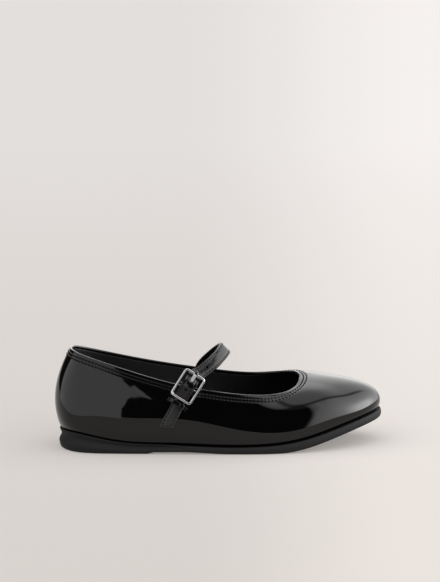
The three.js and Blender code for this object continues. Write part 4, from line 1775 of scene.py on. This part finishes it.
    def gap(
        self, tree: bpy.types.NodeTree, way: bpy.types.NodeSocket, depth: bpy.types.NodeSocket,
    ) -> bpy.types.NodeSocket:
        """Adds the dark gap between two ceilings.

        Args:
            tree: The world's node tree.
            way: Direction that is looked in.
            depth: Its part along +Y.

        Returns:
            The share of the light that is left in each direction.
        """
        dot = add_node(
            tree, "ShaderNodeVectorMath", {"operation": "DOT_PRODUCT"}, {0: way, 1: self.seam})
        moved = add_node(
            tree, "ShaderNodeMath", {"operation": "ADD"}, {0: dot.outputs["Value"], 1: self.seam_offset})
        off = add_node(tree, "ShaderNodeMath", {"operation": "ABSOLUTE"}, {0: moved.outputs[0]})
        level = add_node(
            tree, "ShaderNodeMapRange", SMOOTH,
            crossing(off.outputs[0], self.seam_edge, (self.seam_level, 1.0)))
        end = add_node(tree, "ShaderNodeMapRange", SMOOTH, crossing(depth, self.seam_end))
        return add_node(
            tree, "ShaderNodeMix", {"data_type": "FLOAT"},
            {0: end.outputs[0], 2: level.outputs[0], 3: 1.0},
        ).outputs[0]

    def angle_from(
        self, tree: bpy.types.NodeTree, way: bpy.types.NodeSocket, axis: tuple[float, float],
    ) -> bpy.types.NodeSocket:
        """Adds the angle between a direction and an axis.

        Args:
            tree: The world's node tree.
            way: The direction.
            axis: Azimuth and elevation of the axis.

        Returns:
            The angle in degrees.
        """
        turn, lift = math.radians(axis[0]), math.radians(axis[1])
        centre = (-math.sin(turn) * math.cos(lift), -math.cos(turn) * math.cos(lift), math.sin(lift))
        dot = add_node(tree, "ShaderNodeVectorMath", {"operation": "DOT_PRODUCT"}, {0: way, 1: centre})
        near = add_node(tree, "ShaderNodeMath", {"operation": "ARCCOSINE"}, {0: dot.outputs["Value"]})
        return add_node(
            tree, "ShaderNodeMath", {"operation": "DEGREES"}, {0: near.outputs[0]}).outputs[0]

    def ramp(
        self, tree: bpy.types.NodeTree, value: bpy.types.NodeSocket,
        stops: Sequence[tuple[float, float]],
    ) -> bpy.types.NodeSocket:
        """Adds a brightness that changes evenly between stops.

        Args:
            tree: The world's node tree.
            value: What it changes with.
            stops: Values and the brightness at each, from the lowest value to the highest.

        Returns:
            The brightness.
        """
        start, end = stops[0][0], stops[-1][0]
        share = add_node(tree, "ShaderNodeMapRange", None, crossing(value, (start, end)))
        most = max(level for _, level in stops)
        node = add_node(tree, "ShaderNodeValToRGB", None, {0: share.outputs[0]})
        steps = node.color_ramp.elements
        steps.remove(steps[1])
        for number, (at, level) in enumerate(stops):
            place = (at - start) / (end - start)
            stop = steps[0] if number == 0 else steps.new(place)
            stop.position = place
            stop.color = (level / most, level / most, level / most, 1)
        return add_node(
            tree, "ShaderNodeMath", {"operation": "MULTIPLY"}, {0: node.outputs[0], 1: most}).outputs[0]

    def make_camera(self) -> None:
        """Sets up the camera, looking a little over the shoe, with no shift."""
        turn, lift = math.radians(self.azimuth), math.radians(self.elevation)
        back = Vector((
            math.sin(turn) * math.cos(lift), -math.cos(turn) * math.cos(lift), math.sin(lift)))
        right = Vector((math.cos(turn), math.sin(turn), 0))
        upright = back.cross(right)
        place = Vector(self.aim) + back * self.distance
        target = Vector(self.aim) + upright * self.aim_above - right * self.aim_left
        data = bpy.data.cameras.new("camera")
        data.lens = self.focal
        data.sensor_width = self.film
        data.clip_start, data.clip_end = self.clip
        camera = bpy.data.objects.new("camera", data)
        bpy.context.scene.collection.objects.link(camera)
        camera.rotation_mode = "QUATERNION"
        camera.location = self.bench.to_model(place)
        camera.rotation_quaternion = (target - place).to_track_quat("-Z", "Y")
        bpy.context.scene.camera = camera


def corners() -> list[list[float]]:
    """Gives the lowest and highest corner of what shows, as plain lists."""
    return [list(corner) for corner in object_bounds()]


def main() -> None:
    """Builds the shoe and its studio."""
    logging.basicConfig(level=logging.INFO, format="%(name)s: %(message)s")
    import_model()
    last = Last()
    bench = Workbench(last)
    for part in (
        SoleUnit(last, bench), Insole(last, bench), Upper(last, bench),
        Fastening(last, bench, BuckleAxes(last)), Studio(bench),
    ):
        part.build()


if __name__ == "__main__":
    main()
